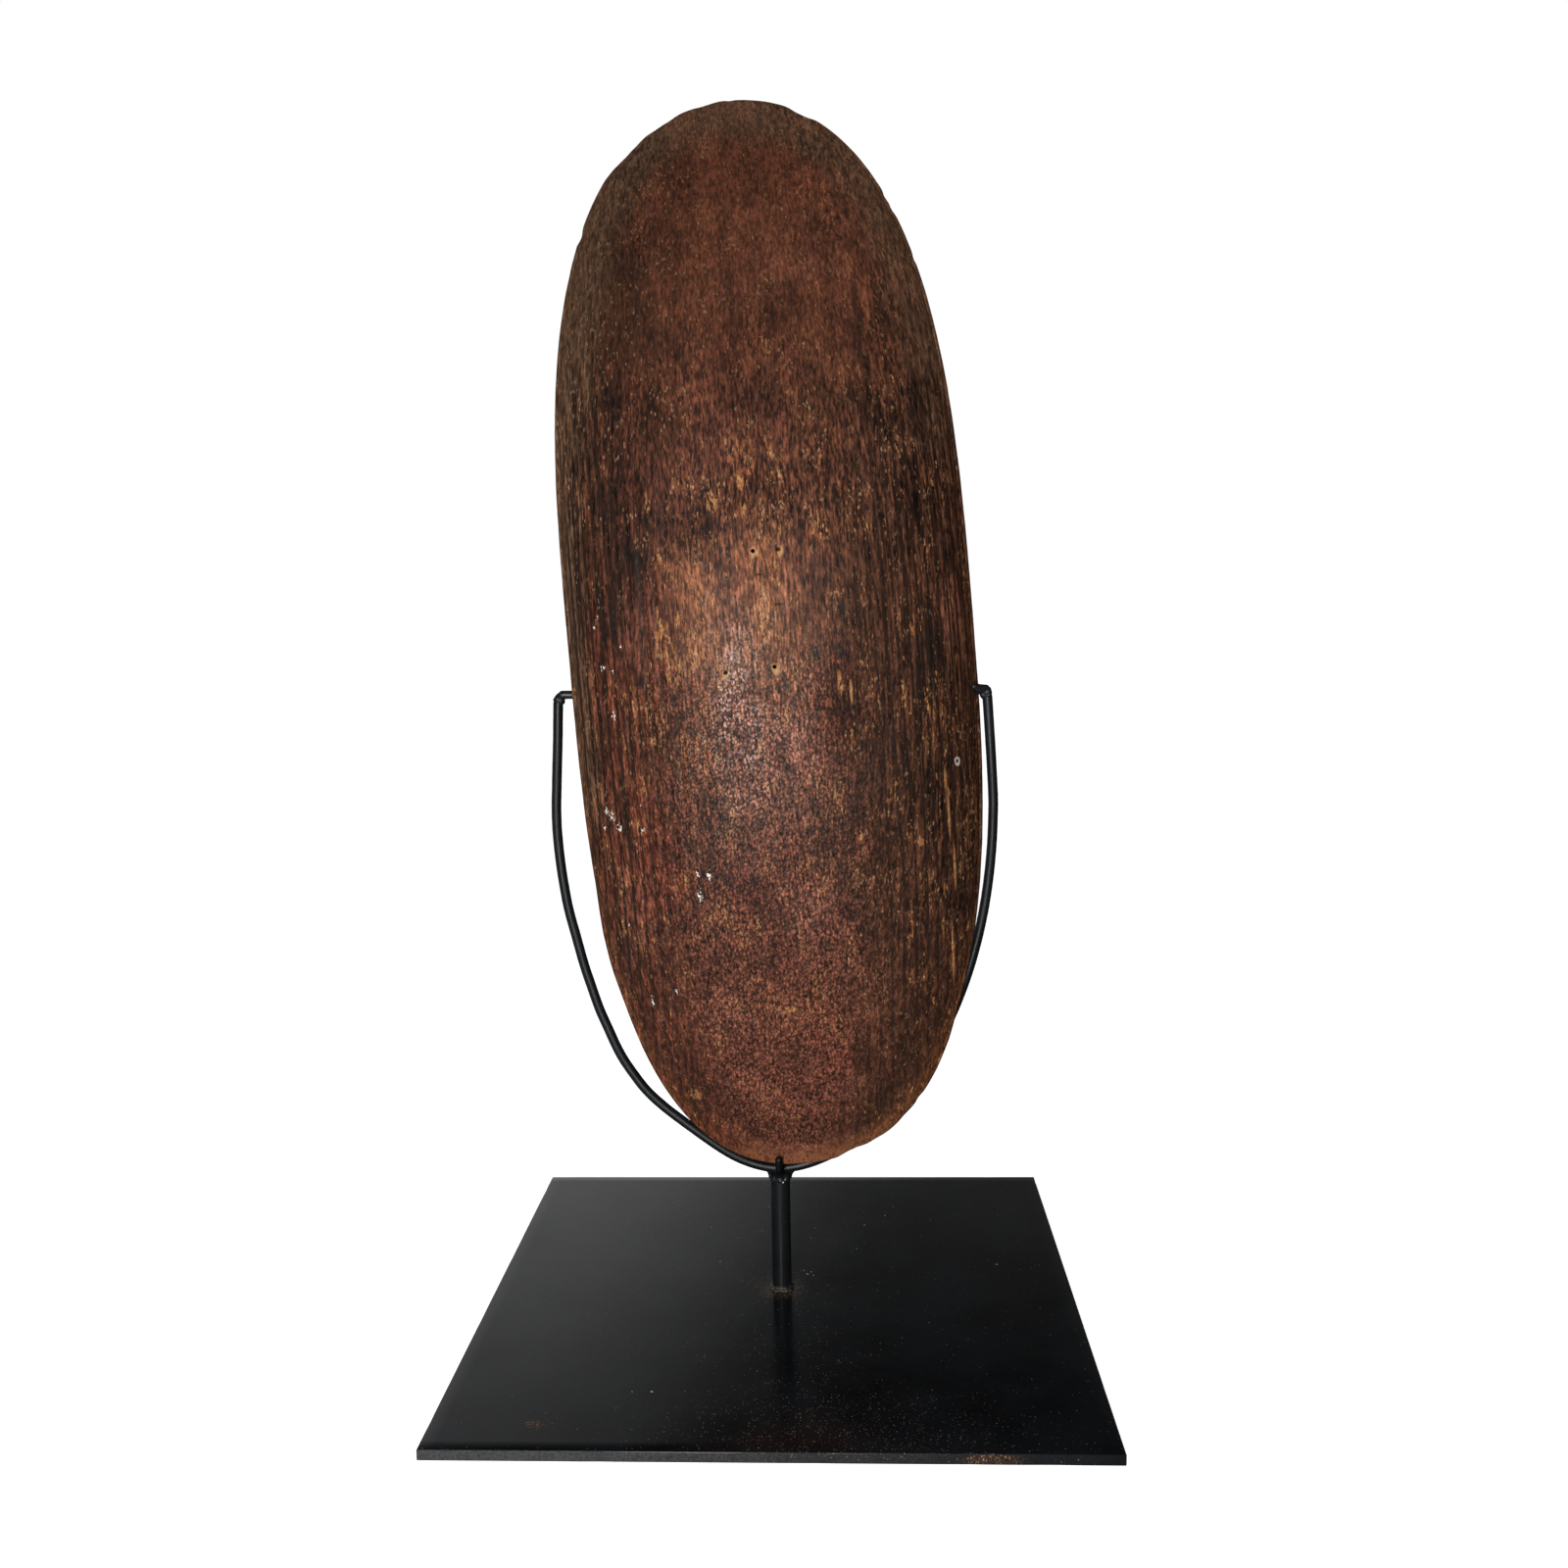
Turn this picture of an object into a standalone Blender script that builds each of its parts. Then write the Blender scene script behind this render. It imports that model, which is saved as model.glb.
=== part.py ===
# Carved wooden shield, stood upright in a welded iron cradle on a square plate.
# The front of the shield faces -Y. The origin is the middle of the plate's underside.

import math

import bmesh
import bpy
import numpy as np
from mathutils import Matrix, Quaternion, Vector
from mathutils.bvhtree import BVHTree

# Gap between pieces that touch
GAP = 0.0003

# Base plate and post
PLATE_SIDE = 0.381
PLATE_THICKNESS = 0.00635
PLATE_EDGE_BREAK = 0.0004
POST_RADIUS = 0.00635
POST_HEIGHT = 0.0777
POST_EDGE_BREAK = 0.0006

# Cradle rod: a tall U whose middle crosses the back of the post's top
ROD_RADIUS = 0.003175
CRADLE_SIDE_ROOM = 0.0112
BOWL_DEPTH = 0.242
BOWL_WIDTH_POWER = 1.75
BOWL_DEPTH_POWER = 2.14
ARM_LENGTH = 0.069
ARM_LEAN_IN = 0.0055
BOWL_SET_BACK = 0.004

# Tips on the two arms
TIP_RADIUS = 0.0027
TIP_INSET = 0.0022
LEFT_TIP_LENGTH = 0.021
RIGHT_TIP_LENGTH = 0.0105
RIGHT_TIP_END_RADIUS = 0.0020
RIGHT_TIP_RISE = 0.003

# Front prong: a crank from the post's top, forward under the shield and up in front of it
PRONG_RADIUS = 0.0023
PRONG_HEIGHT = 0.0195
PRONG_FOOT_HEIGHT = 0.0080
PRONG_BEND = 0.0035
PRONG_LEAN = math.radians(7)
PRONG_TO_SHIELD = 0.0012
PRONG_TO_ROD = 0.00175

# Shield outline: width share = (1 - |length share| ** LENGTH_POWER) ** (1 / WIDTH_POWER)
SHIELD_LENGTH = 0.6814
SHIELD_WIDTH = 0.2562
WIDTH_POWER = 2.23
TOP_LENGTH_POWER = 3.15
BOTTOM_LENGTH_POWER = 2.98
SWAY_TWIST = -0.0017
SWAY_BEND = 0.0031

# Shield section: a domed front, a shallow hollow back and a lengthwise bow
CREST_RISE = 0.050
CREST_WIDTH_POWER = 2.6
CREST_EDGE_POWER = 0.8
END_FALLBACK = 0.017
RIM_THICKNESS = 0.008
RIM_FLAT = 0.0026
RIM_ROUNDING = 0.0022
BACK_DEPTH = 0.013
BACK_WIDTH_POWER = 3.0

# Flutes that run the length of the front: shallow along the crest, full on the flanks, gone at the ends
FLUTE_PITCH = 0.0081
FLUTE_DEPTH = 0.0012
FLUTE_CREST_SHARE = 0.35
FLUTE_FLANK_SHARES = (0.15, 0.55)
FLUTE_END_SHARES = (0.75, 0.97)

# Finger hollow and the grip carved across it
GRIP_X = -0.006
GRIP_Z = 0.013
HOLLOW_LENGTH = 0.136
HOLLOW_WIDTH = 0.104
FRONT_WALL = 0.011
GRIP_END_REACH = 0.020
GRIP_WIDTH = 0.030
GRIP_END_WIDTH = 0.052
GRIP_THICKNESS = 0.014
GRIP_SET_IN = 0.005
GRIP_DROP = 0.008
GRIP_SQUARENESS = 0.8

# Four holes drilled through the floor of the hollow, as shares of its half width and half length
HOLE_RADIUS = 0.0013
HOLE_SHARES = [(0.01, 0.52), (0.31, 0.52), (-0.39, -0.52), (0.19, -0.50)]

# How the shield stands in the cradle
TILT = math.radians(3.2)
TURN = math.radians(3.0)
LEAN_BACK = math.radians(5.0)
SHIELD_X = -0.0034

# Mesh fineness
FRONT_ROWS = 24
BACK_ROWS = 10
EDGE_SHARES = [0.9930, 0.9980, 0.9996]
ROD_SIDES = 10
BOWL_STEPS = 26
ARM_STEPS = 4
PRONG_BEND_STEPS = 5
POST_SIDES = 20
HOLLOW_SEGMENTS = 28
GRIP_SIDES = 12
GRIP_RINGS = 17
DRILL_SIDES = 8

HALF_LENGTH = SHIELD_LENGTH / 2
HALF_WIDTH = SHIELD_WIDTH / 2
CREST_Y = -CREST_RISE - RIM_THICKNESS / 2
BACK_Y = RIM_THICKNESS / 2 - BACK_DEPTH
HOLLOW_FLOOR_Y = CREST_Y + FRONT_WALL
GRIP_BACK_Y = RIM_THICKNESS / 2 - GRIP_SET_IN
GRIP_LENGTH = HOLLOW_LENGTH + 2 * GRIP_END_REACH
POST_TOP = PLATE_THICKNESS + GAP + POST_HEIGHT
ROD_Y = POST_RADIUS - ROD_RADIUS
CRADLE_HALF_WIDTH = HALF_WIDTH + CRADLE_SIDE_ROOM
BOWL_BOTTOM = POST_TOP + GAP + ROD_RADIUS
BOWL_TOP = BOWL_BOTTOM + BOWL_DEPTH
ARM_TOP = BOWL_TOP + ARM_LENGTH
TIP_Z = ARM_TOP + GAP + TIP_RADIUS
PRONG_Y = ROD_Y - ROD_RADIUS - PRONG_TO_ROD - PRONG_RADIUS
PRONG_FOOT_Z = POST_TOP + PRONG_FOOT_HEIGHT
SEAT_Z = PRONG_FOOT_Z + PRONG_RADIUS


def clear_scene():
    for item in list(bpy.data.objects):
        bpy.data.objects.remove(item, do_unlink=True)


def painted(name, colour, roughness, metallic):
    material = bpy.data.materials.new(name)
    material.use_nodes = True
    shader = material.node_tree.nodes["Principled BSDF"]
    shader.inputs["Base Color"].default_value = (*colour, 1.0)
    shader.inputs["Roughness"].default_value = roughness
    shader.inputs["Metallic"].default_value = metallic
    return material


def new_object(name, vertices, faces, material=None, smooth_angle=50):
    """A mesh object whose faces all point outwards, shaded smooth below the given angle."""
    mesh = bpy.data.meshes.new(name)
    mesh.from_pydata([tuple(v) for v in vertices], [], faces)
    work = bmesh.new()
    work.from_mesh(mesh)
    bmesh.ops.recalc_face_normals(work, faces=work.faces)
    work.to_mesh(mesh)
    work.free()
    mesh.shade_smooth()
    mesh.set_sharp_from_angle(angle=math.radians(smooth_angle))
    if material:
        mesh.materials.append(material)
    item = bpy.data.objects.new(name, mesh)
    bpy.context.scene.collection.objects.link(item)
    return item


def loft(name, rings, material=None):
    """A closed solid through rings of equal count, with a flat cap on both ends."""
    count = len(rings[0])
    vertices = [point for ring in rings for point in ring]
    faces = [tuple(range(count)), tuple(range(len(vertices) - count, len(vertices)))]
    for i in range(len(rings) - 1):
        for j in range(count):
            a = i * count + j
            b = i * count + (j + 1) % count
            faces.append((a, b, b + count, a + count))
    return new_object(name, vertices, faces, material)


def bent_rod(name, path, radii, plane_normal, material):
    """A round rod along a path that lies in one plane, or nearly so."""
    path = np.array(path)
    tangents = np.gradient(path, axis=0)
    rings = []
    for point, tangent, radius in zip(path, tangents, radii):
        tangent = tangent / np.linalg.norm(tangent)
        across = np.cross(tangent, plane_normal)
        across = across / np.linalg.norm(across)
        normal = np.cross(across, tangent)
        angles = np.arange(ROD_SIDES) * 2 * math.pi / ROD_SIDES
        rings.append([point + radius * (math.cos(a) * normal + math.sin(a) * across) for a in angles])
    return loft(name, rings, material)


def rounded_path(corners, bend):
    """Points along straight runs joined by arcs, given as a corner list."""
    path = [Vector(corners[0])]
    for before, corner, after in zip(corners, corners[1:], corners[2:]):
        corner = Vector(corner)
        back = (Vector(before) - corner).normalized()
        ahead = (Vector(after) - corner).normalized()
        half = back.angle(ahead) / 2
        reach = bend / math.tan(half)
        centre = corner + (back + ahead).normalized() * bend / math.sin(half)
        start = corner + back * reach - centre
        end = corner + ahead * reach - centre
        turn = start.rotation_difference(end)
        for i in range(PRONG_BEND_STEPS + 1):
            part_turn = Quaternion(turn.axis, turn.angle * i / PRONG_BEND_STEPS)
            path.append(centre + part_turn @ start)
    return path + [Vector(corners[-1])]


def width_share(v):
    """Half width of the outline at a length share v, as a share of the widest."""
    power = np.where(v > 0, TOP_LENGTH_POWER, BOTTOM_LENGTH_POWER)
    return np.maximum(1 - np.abs(v) ** power, 0) ** (1 / WIDTH_POWER)


def length_share(u, power):
    """How far along its length the outline reaches at a width share u."""
    return (1 - abs(u) ** WIDTH_POWER) ** (1 / power)


def smooth_step(low, high, value):
    t = np.clip((value - low) / (high - low), 0, 1)
    return t * t * (3 - 2 * t)


def cross_share(x, v, half_width):
    return np.clip(np.abs(x) / np.maximum(half_width * width_share(v), 1e-6), 0, 1)


def sway(v):
    """Sideways wander of the middle line of the hand-made outline."""
    return SWAY_TWIST * np.sin(math.pi * v) + SWAY_BEND * (1 - v ** 2)


def dome(v, s):
    return CREST_RISE * (1 - v ** 2) * (1 - s ** CREST_WIDTH_POWER) ** CREST_EDGE_POWER


def hollowing(v, s):
    return BACK_DEPTH * (1 - v ** 2) * (1 - s ** BACK_WIDTH_POWER)


def flute_columns():
    """Width shares of the columns: ridge, groove, ridge ... evenly spaced over the domed middle section."""
    share = np.linspace(0, 1, 2000)
    rise = dome(np.zeros_like(share), share)
    steps = np.hypot(np.diff(share) * HALF_WIDTH, np.diff(rise))
    arc = np.concatenate([[0], np.cumsum(steps)])
    count = int((arc[-1] - FLUTE_PITCH / 4) / (FLUTE_PITCH / 2))
    right = list(np.interp(np.arange(1, count + 1) * FLUTE_PITCH / 2, arc, share))
    groove = [i % 2 for i in range(1, count + 1)]
    extra = [share for share in EDGE_SHARES if share > right[-1]]
    right += extra
    groove += [0] * len(extra)
    columns = [-u for u in reversed(right)] + [0.0] + right
    grooves = groove[::-1] + [0] + groove
    return columns, grooves


def shell_side(columns, grooves, rows, side):
    """Columns of points over one face of the shield. side is -1 for the front and 1 for the back."""
    half_width = HALF_WIDTH - RIM_ROUNDING
    half_length = HALF_LENGTH - RIM_ROUNDING
    t = np.sin(np.linspace(-math.pi / 2, math.pi / 2, rows + 1))
    sides = []
    for u, groove in zip(columns, grooves):
        reach = np.where(t > 0, length_share(u, TOP_LENGTH_POWER), length_share(u, BOTTOM_LENGTH_POWER))
        v = reach * t
        x = np.full_like(v, u * half_width)
        s = cross_share(x, v, half_width)
        s[0] = s[-1] = 1
        y = END_FALLBACK * v ** 2 + side * RIM_THICKNESS / 2
        if side < 0:
            flank = smooth_step(*FLUTE_FLANK_SHARES, abs(u))
            fade = 1 - smooth_step(*FLUTE_END_SHARES, np.abs(v))
            strength = FLUTE_CREST_SHARE + (1 - FLUTE_CREST_SHARE) * flank
            inside = np.abs(t) < 1
            y = y - dome(v, s) + groove * inside * fade * strength * FLUTE_DEPTH
        else:
            y = y - hollowing(v, s)
        sides.append(np.stack([x + sway(v), y, v * half_length], axis=1))
    pole_y = side * RIM_THICKNESS / 2
    poles = [(sign * half_width + sway(0), pole_y, 0) for sign in (-1, 1)]
    return sides, poles


def outline_loop(columns, y_offset):
    """One loop of points around the full outline, from the left pole over the top to the right and back."""
    top = []
    bottom = []
    for u in columns:
        for points, power, sign in ((top, TOP_LENGTH_POWER, 1), (bottom, BOTTOM_LENGTH_POWER, -1)):
            v = sign * length_share(u, power)
            y = END_FALLBACK * v ** 2 + y_offset
            points.append((u * HALF_WIDTH + sway(v), y, v * HALF_LENGTH))
    left = (-HALF_WIDTH + sway(0), y_offset, 0)
    right = (HALF_WIDTH + sway(0), y_offset, 0)
    return [left] + top + [right] + bottom[::-1]


def carve_blank(material):
    """The shield's body before the hollow: front and back faces joined by a rounded rim."""
    columns, grooves = flute_columns()
    vertices = []
    faces = []
    loops = []
    for side, rows in ((-1, FRONT_ROWS), (1, BACK_ROWS)):
        grid, poles = shell_side(columns, grooves, rows, side)
        base = len(vertices)
        for column in grid:
            vertices += list(column)
        left, right = len(vertices), len(vertices) + 1
        vertices += poles
        stride = rows + 1
        for i in range(len(columns) - 1):
            for j in range(rows):
                a = base + i * stride + j
                faces.append((a, a + 1, a + 1 + stride, a + stride))
        last = base + (len(columns) - 1) * stride
        for j in range(rows):
            faces.append((left, base + j + 1, base + j))
            faces.append((right, last + j, last + j + 1))
        tops = [base + i * stride + rows for i in range(len(columns))]
        bottoms = [base + i * stride for i in range(len(columns))]
        loops.append([left] + tops + [right] + bottoms[::-1])
    rim = [loops[0]]
    for offset in (-RIM_FLAT / 2, RIM_FLAT / 2):
        start = len(vertices)
        ring = outline_loop(columns, offset)
        vertices += ring
        rim.append(list(range(start, start + len(ring))))
    rim.append(loops[1])
    for first, second in zip(rim, rim[1:]):
        count = len(first)
        for i in range(count):
            j = (i + 1) % count
            faces.append((first[i], first[j], second[j], second[i]))
    return new_object("shield", vertices, faces, material, smooth_angle=9)


def as_cutter(item):
    item.hide_render = True
    item.display_type = "WIRE"


def boolean(item, other, operation):
    modifier = item.modifiers.new(operation.title(), "BOOLEAN")
    modifier.object = other
    modifier.operation = operation
    modifier.solver = "EXACT"


def cutter_from(name, work):
    """Turns a bmesh into a hidden object that only shapes the shield."""
    mesh = bpy.data.meshes.new(name)
    work.to_mesh(mesh)
    work.free()
    item = bpy.data.objects.new(name, mesh)
    bpy.context.scene.collection.objects.link(item)
    as_cutter(item)
    return item


def finger_hollow():
    """A bowl scooped out of the back, down to the front wall's thickness."""
    work = bmesh.new()
    bmesh.ops.create_uvsphere(work, u_segments=HOLLOW_SEGMENTS, v_segments=HOLLOW_SEGMENTS // 2, radius=1)
    size = Matrix.Diagonal((HOLLOW_WIDTH / 2, BACK_Y - HOLLOW_FLOOR_Y, HOLLOW_LENGTH / 2, 1))
    place = Matrix.Translation((GRIP_X, BACK_Y, GRIP_Z))
    bmesh.ops.transform(work, matrix=place @ size, verts=work.verts)
    return cutter_from("finger_hollow_cutter", work)


def grip_bar():
    """The bar left standing across the hollow. It arches out of the back and widens into it at both ends."""
    rings = []
    for t in np.linspace(-1, 1, GRIP_RINGS):
        y = GRIP_BACK_Y - GRIP_THICKNESS / 2 - GRIP_DROP * abs(t) ** 3
        half_width = (GRIP_WIDTH + (GRIP_END_WIDTH - GRIP_WIDTH) * t * t) / 2
        ring = []
        for i in range(GRIP_SIDES):
            angle = 2 * math.pi * (i + 0.5) / GRIP_SIDES
            across = math.copysign(abs(math.cos(angle)) ** GRIP_SQUARENESS, math.cos(angle))
            depth = math.copysign(abs(math.sin(angle)) ** GRIP_SQUARENESS, math.sin(angle))
            ring.append((GRIP_X + half_width * across, y + GRIP_THICKNESS / 2 * depth,
                         GRIP_Z + t * GRIP_LENGTH / 2))
        rings.append(ring)
    item = loft("grip_bar_guide", rings)
    as_cutter(item)
    return item


def lashing_holes():
    """Four straight drills from in front of the crest into the space between the floor and the bar."""
    front = CREST_Y - FRONT_WALL
    back = (HOLLOW_FLOOR_Y + GRIP_BACK_Y - GRIP_THICKNESS) / 2
    work = bmesh.new()
    for x_share, z_share in HOLE_SHARES:
        x = GRIP_X + x_share * HOLLOW_WIDTH / 2
        z = GRIP_Z + z_share * HOLLOW_LENGTH / 2
        along_y = Matrix.Rotation(math.radians(90), 4, "X")
        place = Matrix.Translation((x, (front + back) / 2, z))
        bmesh.ops.create_cone(work, cap_ends=True, segments=DRILL_SIDES, radius1=HOLE_RADIUS,
                              radius2=HOLE_RADIUS, depth=back - front, matrix=place @ along_y)
    return cutter_from("lashing_hole_cutter", work)


def rod_y(z):
    """Depth of the cradle rod's centre line at a height. It bows backwards between its foot and its tips."""
    return ROD_Y + BOWL_SET_BACK * math.sin(math.pi * (z - BOWL_BOTTOM) / (ARM_TOP - BOWL_BOTTOM))


def cradle_path():
    """Centre line of the cradle rod, from the left arm's end through the bowl to the right arm's end."""
    half = []
    steps = BOWL_STEPS // 2
    for i in range(steps + 1):
        angle = math.pi / 2 * (1 - i / steps)
        x = CRADLE_HALF_WIDTH * max(math.cos(angle), 0) ** (2 / BOWL_WIDTH_POWER)
        z = BOWL_TOP - BOWL_DEPTH * math.sin(angle) ** (2 / BOWL_DEPTH_POWER)
        half.append((x, rod_y(z), z))
    for i in range(1, ARM_STEPS + 1):
        share = i / ARM_STEPS
        z = BOWL_TOP + ARM_LENGTH * share
        half.append((CRADLE_HALF_WIDTH - ARM_LEAN_IN * share ** 2, rod_y(z), z))
    return [(-x, y, z) for x, y, z in reversed(half)] + half[1:]


def closely_spaced(path, per_step=12):
    """The same path with more points on its straight stretches."""
    path = np.array(path)
    places = np.linspace(0, len(path) - 1, per_step * len(path))
    return np.stack([np.interp(places, np.arange(len(path)), path[:, i]) for i in range(3)], axis=1)


def stand_shield(shield):
    """Turn the shield, set its lower end on the prong's foot and push it back against the cradle rod."""
    lean = Matrix.Rotation(-LEAN_BACK, 4, "X")
    turned = lean @ Matrix.Rotation(TURN, 4, "Z") @ Matrix.Rotation(-TILT, 4, "Y")
    points = np.array([turned @ v.co for v in shield.data.vertices])
    points[:, 0] += SHIELD_X
    rise = SEAT_Z + GAP - points[:, 2].min()
    points[:, 2] += rise
    rod = closely_spaced(cradle_path())
    near = points[points[:, 2] < BOWL_TOP]
    apart = np.hypot(near[:, None, 0] - rod[None, :, 0], near[:, None, 2] - rod[None, :, 2])
    nearest = apart.argmin(axis=1)
    apart = apart.min(axis=1)
    reach = max(ROD_RADIUS + 2 * GAP, apart.min() + GAP)
    touching = apart < reach
    front_of_rod = rod[nearest[touching], 1] - np.sqrt(reach ** 2 - apart[touching] ** 2)
    back = (front_of_rod - near[touching, 1]).min()
    points[:, 1] += back
    shield.matrix_world = Matrix.Translation((SHIELD_X, back, rise)) @ turned
    polygons = [tuple(face.vertices) for face in shield.data.polygons]
    return BVHTree.FromPolygons([Vector(point) for point in points], polygons)


def outermost(standing, xs, zs, side, otherwise):
    """How far out along Y the standing shield reaches at some places. side is -1 in front and 1 behind."""
    met = []
    for x in xs:
        for z in zs:
            hit = standing.ray_cast(Vector((x, side, z)), Vector((0, -side, 0)))[0]
            if hit:
                met.append(side * hit.y)
    return side * max(met) if met else otherwise


def base_plate(material):
    work = bmesh.new()
    bmesh.ops.create_cube(work, size=1)
    size = Matrix.Diagonal((PLATE_SIDE, PLATE_SIDE, PLATE_THICKNESS, 1))
    place = Matrix.Translation((0, 0, PLATE_THICKNESS / 2))
    bmesh.ops.transform(work, matrix=place @ size, verts=work.verts)
    mesh = bpy.data.meshes.new("base_plate")
    work.to_mesh(mesh)
    work.free()
    mesh.materials.append(material)
    item = bpy.data.objects.new("base_plate", mesh)
    bpy.context.scene.collection.objects.link(item)
    bevel = item.modifiers.new("Edge break", "BEVEL")
    bevel.width = PLATE_EDGE_BREAK
    bevel.segments = 1


def post(material):
    profile = [(POST_RADIUS, PLATE_THICKNESS + GAP), (POST_RADIUS, POST_TOP - POST_EDGE_BREAK),
               (POST_RADIUS - POST_EDGE_BREAK, POST_TOP)]
    angles = [2 * math.pi * i / POST_SIDES for i in range(POST_SIDES)]
    rings = [[(radius * math.cos(a), radius * math.sin(a), z) for a in angles] for radius, z in profile]
    loft("post", rings, material)


def cradle_rod(material):
    path = cradle_path()
    bent_rod("cradle_rod", path, [ROD_RADIUS] * len(path), (0, 1, 0), material)


def rim_tip(name, hand, length, end_radius, rise, side, standing, material):
    """A short rod over an arm's end that reaches inwards to the rim. side is 1 where it bears on the rim's
    back and -1 where it bears on its front. hand is -1 for the left arm and 1 for the right."""
    outer_x = CRADLE_HALF_WIDTH - ARM_LEAN_IN + ROD_RADIUS - TIP_INSET + TIP_RADIUS / 2
    start = Vector((hand * outer_x, rod_y(ARM_TOP), TIP_Z))
    end_x = hand * (outer_x - length)
    end_z = TIP_Z + rise
    xs = np.linspace(end_x - hand * end_radius, start.x, 12)
    zs = (end_z - end_radius, end_z, end_z + end_radius)
    rim_y = outermost(standing, xs, zs, side, start.y - side * (end_radius + GAP))
    end = Vector((end_x, rim_y + side * (end_radius + GAP), end_z))
    radii = [TIP_RADIUS, (TIP_RADIUS + end_radius) / 2, end_radius]
    bent_rod(name, [start, (start + end) / 2, end], radii, (0, 0, 1), material)


def front_prong(standing, material):
    """Crank in the plane x = 0: up from the post's top, forward under the rim and up in front of it."""
    top_z = POST_TOP + PRONG_HEIGHT
    xs = (-PRONG_RADIUS, 0, PRONG_RADIUS)
    front = outermost(standing, xs, np.linspace(SEAT_Z, top_z, 12), -1, PRONG_Y)
    out_y = front - PRONG_TO_SHIELD - PRONG_RADIUS
    lean = (top_z - PRONG_FOOT_Z) * math.tan(PRONG_LEAN)
    corners = [(0, PRONG_Y, POST_TOP + GAP), (0, PRONG_Y, PRONG_FOOT_Z), (0, out_y, PRONG_FOOT_Z),
               (0, out_y - lean, top_z)]
    path = rounded_path(corners, PRONG_BEND)
    bent_rod("front_prong", path, [PRONG_RADIUS] * len(path), (1, 0, 0), material)


clear_scene()
wood = painted("ochred_wood", (0.11, 0.04, 0.022), 0.55, 0.0)
iron = painted("blackened_iron", (0.02, 0.021, 0.023), 0.4, 0.6)
shield = carve_blank(wood)
boolean(shield, finger_hollow(), "DIFFERENCE")
boolean(shield, grip_bar(), "UNION")
boolean(shield, lashing_holes(), "DIFFERENCE")
standing_shield = stand_shield(shield)
for modifier in shield.modifiers:
    modifier.object.parent = shield
base_plate(iron)
post(iron)
cradle_rod(iron)
rim_tip("left_tip", -1, LEFT_TIP_LENGTH, TIP_RADIUS, 0, 1, standing_shield, iron)
rim_tip("right_tip", 1, RIGHT_TIP_LENGTH, RIGHT_TIP_END_RADIUS, RIGHT_TIP_RISE, -1, standing_shield, iron)
front_prong(standing_shield, iron)
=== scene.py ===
import math

import bmesh
import bpy
from mathutils import Matrix, Vector, noise


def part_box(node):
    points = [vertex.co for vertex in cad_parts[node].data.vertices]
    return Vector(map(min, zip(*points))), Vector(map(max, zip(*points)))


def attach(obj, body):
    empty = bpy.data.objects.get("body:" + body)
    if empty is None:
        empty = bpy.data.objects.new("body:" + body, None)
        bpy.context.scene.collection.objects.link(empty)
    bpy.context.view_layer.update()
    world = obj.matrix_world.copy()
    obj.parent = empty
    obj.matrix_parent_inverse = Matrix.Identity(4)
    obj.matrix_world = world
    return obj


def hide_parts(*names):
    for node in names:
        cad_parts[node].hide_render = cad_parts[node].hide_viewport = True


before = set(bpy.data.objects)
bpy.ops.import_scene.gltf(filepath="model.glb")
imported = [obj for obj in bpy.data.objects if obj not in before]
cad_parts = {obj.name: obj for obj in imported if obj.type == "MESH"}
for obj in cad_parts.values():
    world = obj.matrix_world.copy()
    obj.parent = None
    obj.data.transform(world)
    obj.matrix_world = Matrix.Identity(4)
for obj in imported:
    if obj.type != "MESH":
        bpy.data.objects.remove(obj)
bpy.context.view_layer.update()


# Base plate
# A square of quarter inch steel sheet, sheared to size and blackened. The shears left crisp edges with a few
# small dents. The top is faintly uneven from the mill, and dust, pale grit and some rust lie on it.

PLATE_EDGE_ROUNDING = 0.0005
PLATE_CELL = 0.009
PLATE_WAVE = 0.00012
WAVES_PER_METRE = 22
EDGE_DENT = 0.0006
DENTS_PER_METRE = 55
DENT_START = 0.25


def math_step(operation):
    return lambda self, *others: self.step(operation, *others)


class Field:
    """A value that changes over a surface. Arithmetic on it adds Math nodes to its tree."""

    def __init__(self, tree, socket):
        self.tree = tree
        self.socket = socket

    def step(self, operation, *others):
        node = self.tree.nodes.new("ShaderNodeMath")
        node.operation = operation
        for value, socket in zip((self, *others), node.inputs):
            feed(self.tree, value, socket)
        return Field(self.tree, node.outputs[0])

    __add__ = __radd__ = math_step("ADD")
    __sub__ = math_step("SUBTRACT")
    __mul__ = __rmul__ = math_step("MULTIPLY")
    __truediv__ = math_step("DIVIDE")
    __pow__ = math_step("POWER")
    __abs__ = math_step("ABSOLUTE")
    at_least = math_step("MAXIMUM")
    at_most = math_step("MINIMUM")

    def __rsub__(self, other):
        return self.step("MULTIPLY_ADD", -1, other)

    def __neg__(self):
        return 0 - self

    def clamped(self):
        return self.at_least(0).at_most(1)

    def rise(self, low, high):
        """0 below low and 1 above high, with a smooth climb between them."""
        node = self.tree.nodes.new("ShaderNodeMapRange")
        node.interpolation_type = "SMOOTHSTEP"
        for value, name in ((self, "Value"), (low, "From Min"), (high, "From Max")):
            feed(self.tree, value, node.inputs[name])
        return Field(self.tree, node.outputs["Result"])

    def fall(self, low, high):
        return 1 - self.rise(low, high)


def feed(tree, value, socket):
    """Links a Field to a socket, or sets the socket to a plain value."""
    if isinstance(value, Field):
        tree.links.new(value.socket, socket)
    else:
        socket.default_value = value


def input_field(tree, kind, output=0):
    return Field(tree, tree.nodes.new(kind).outputs[output])


def strongest(masks):
    most = masks[0]
    for mask in masks[1:]:
        most = most.at_least(mask)
    return most


def place_at(tree, x, y, z):
    """Three values as one place."""
    node = tree.nodes.new("ShaderNodeCombineXYZ")
    for value, socket in zip((x, y, z), node.inputs):
        feed(tree, value, socket)
    return Field(tree, node.outputs[0])


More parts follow.
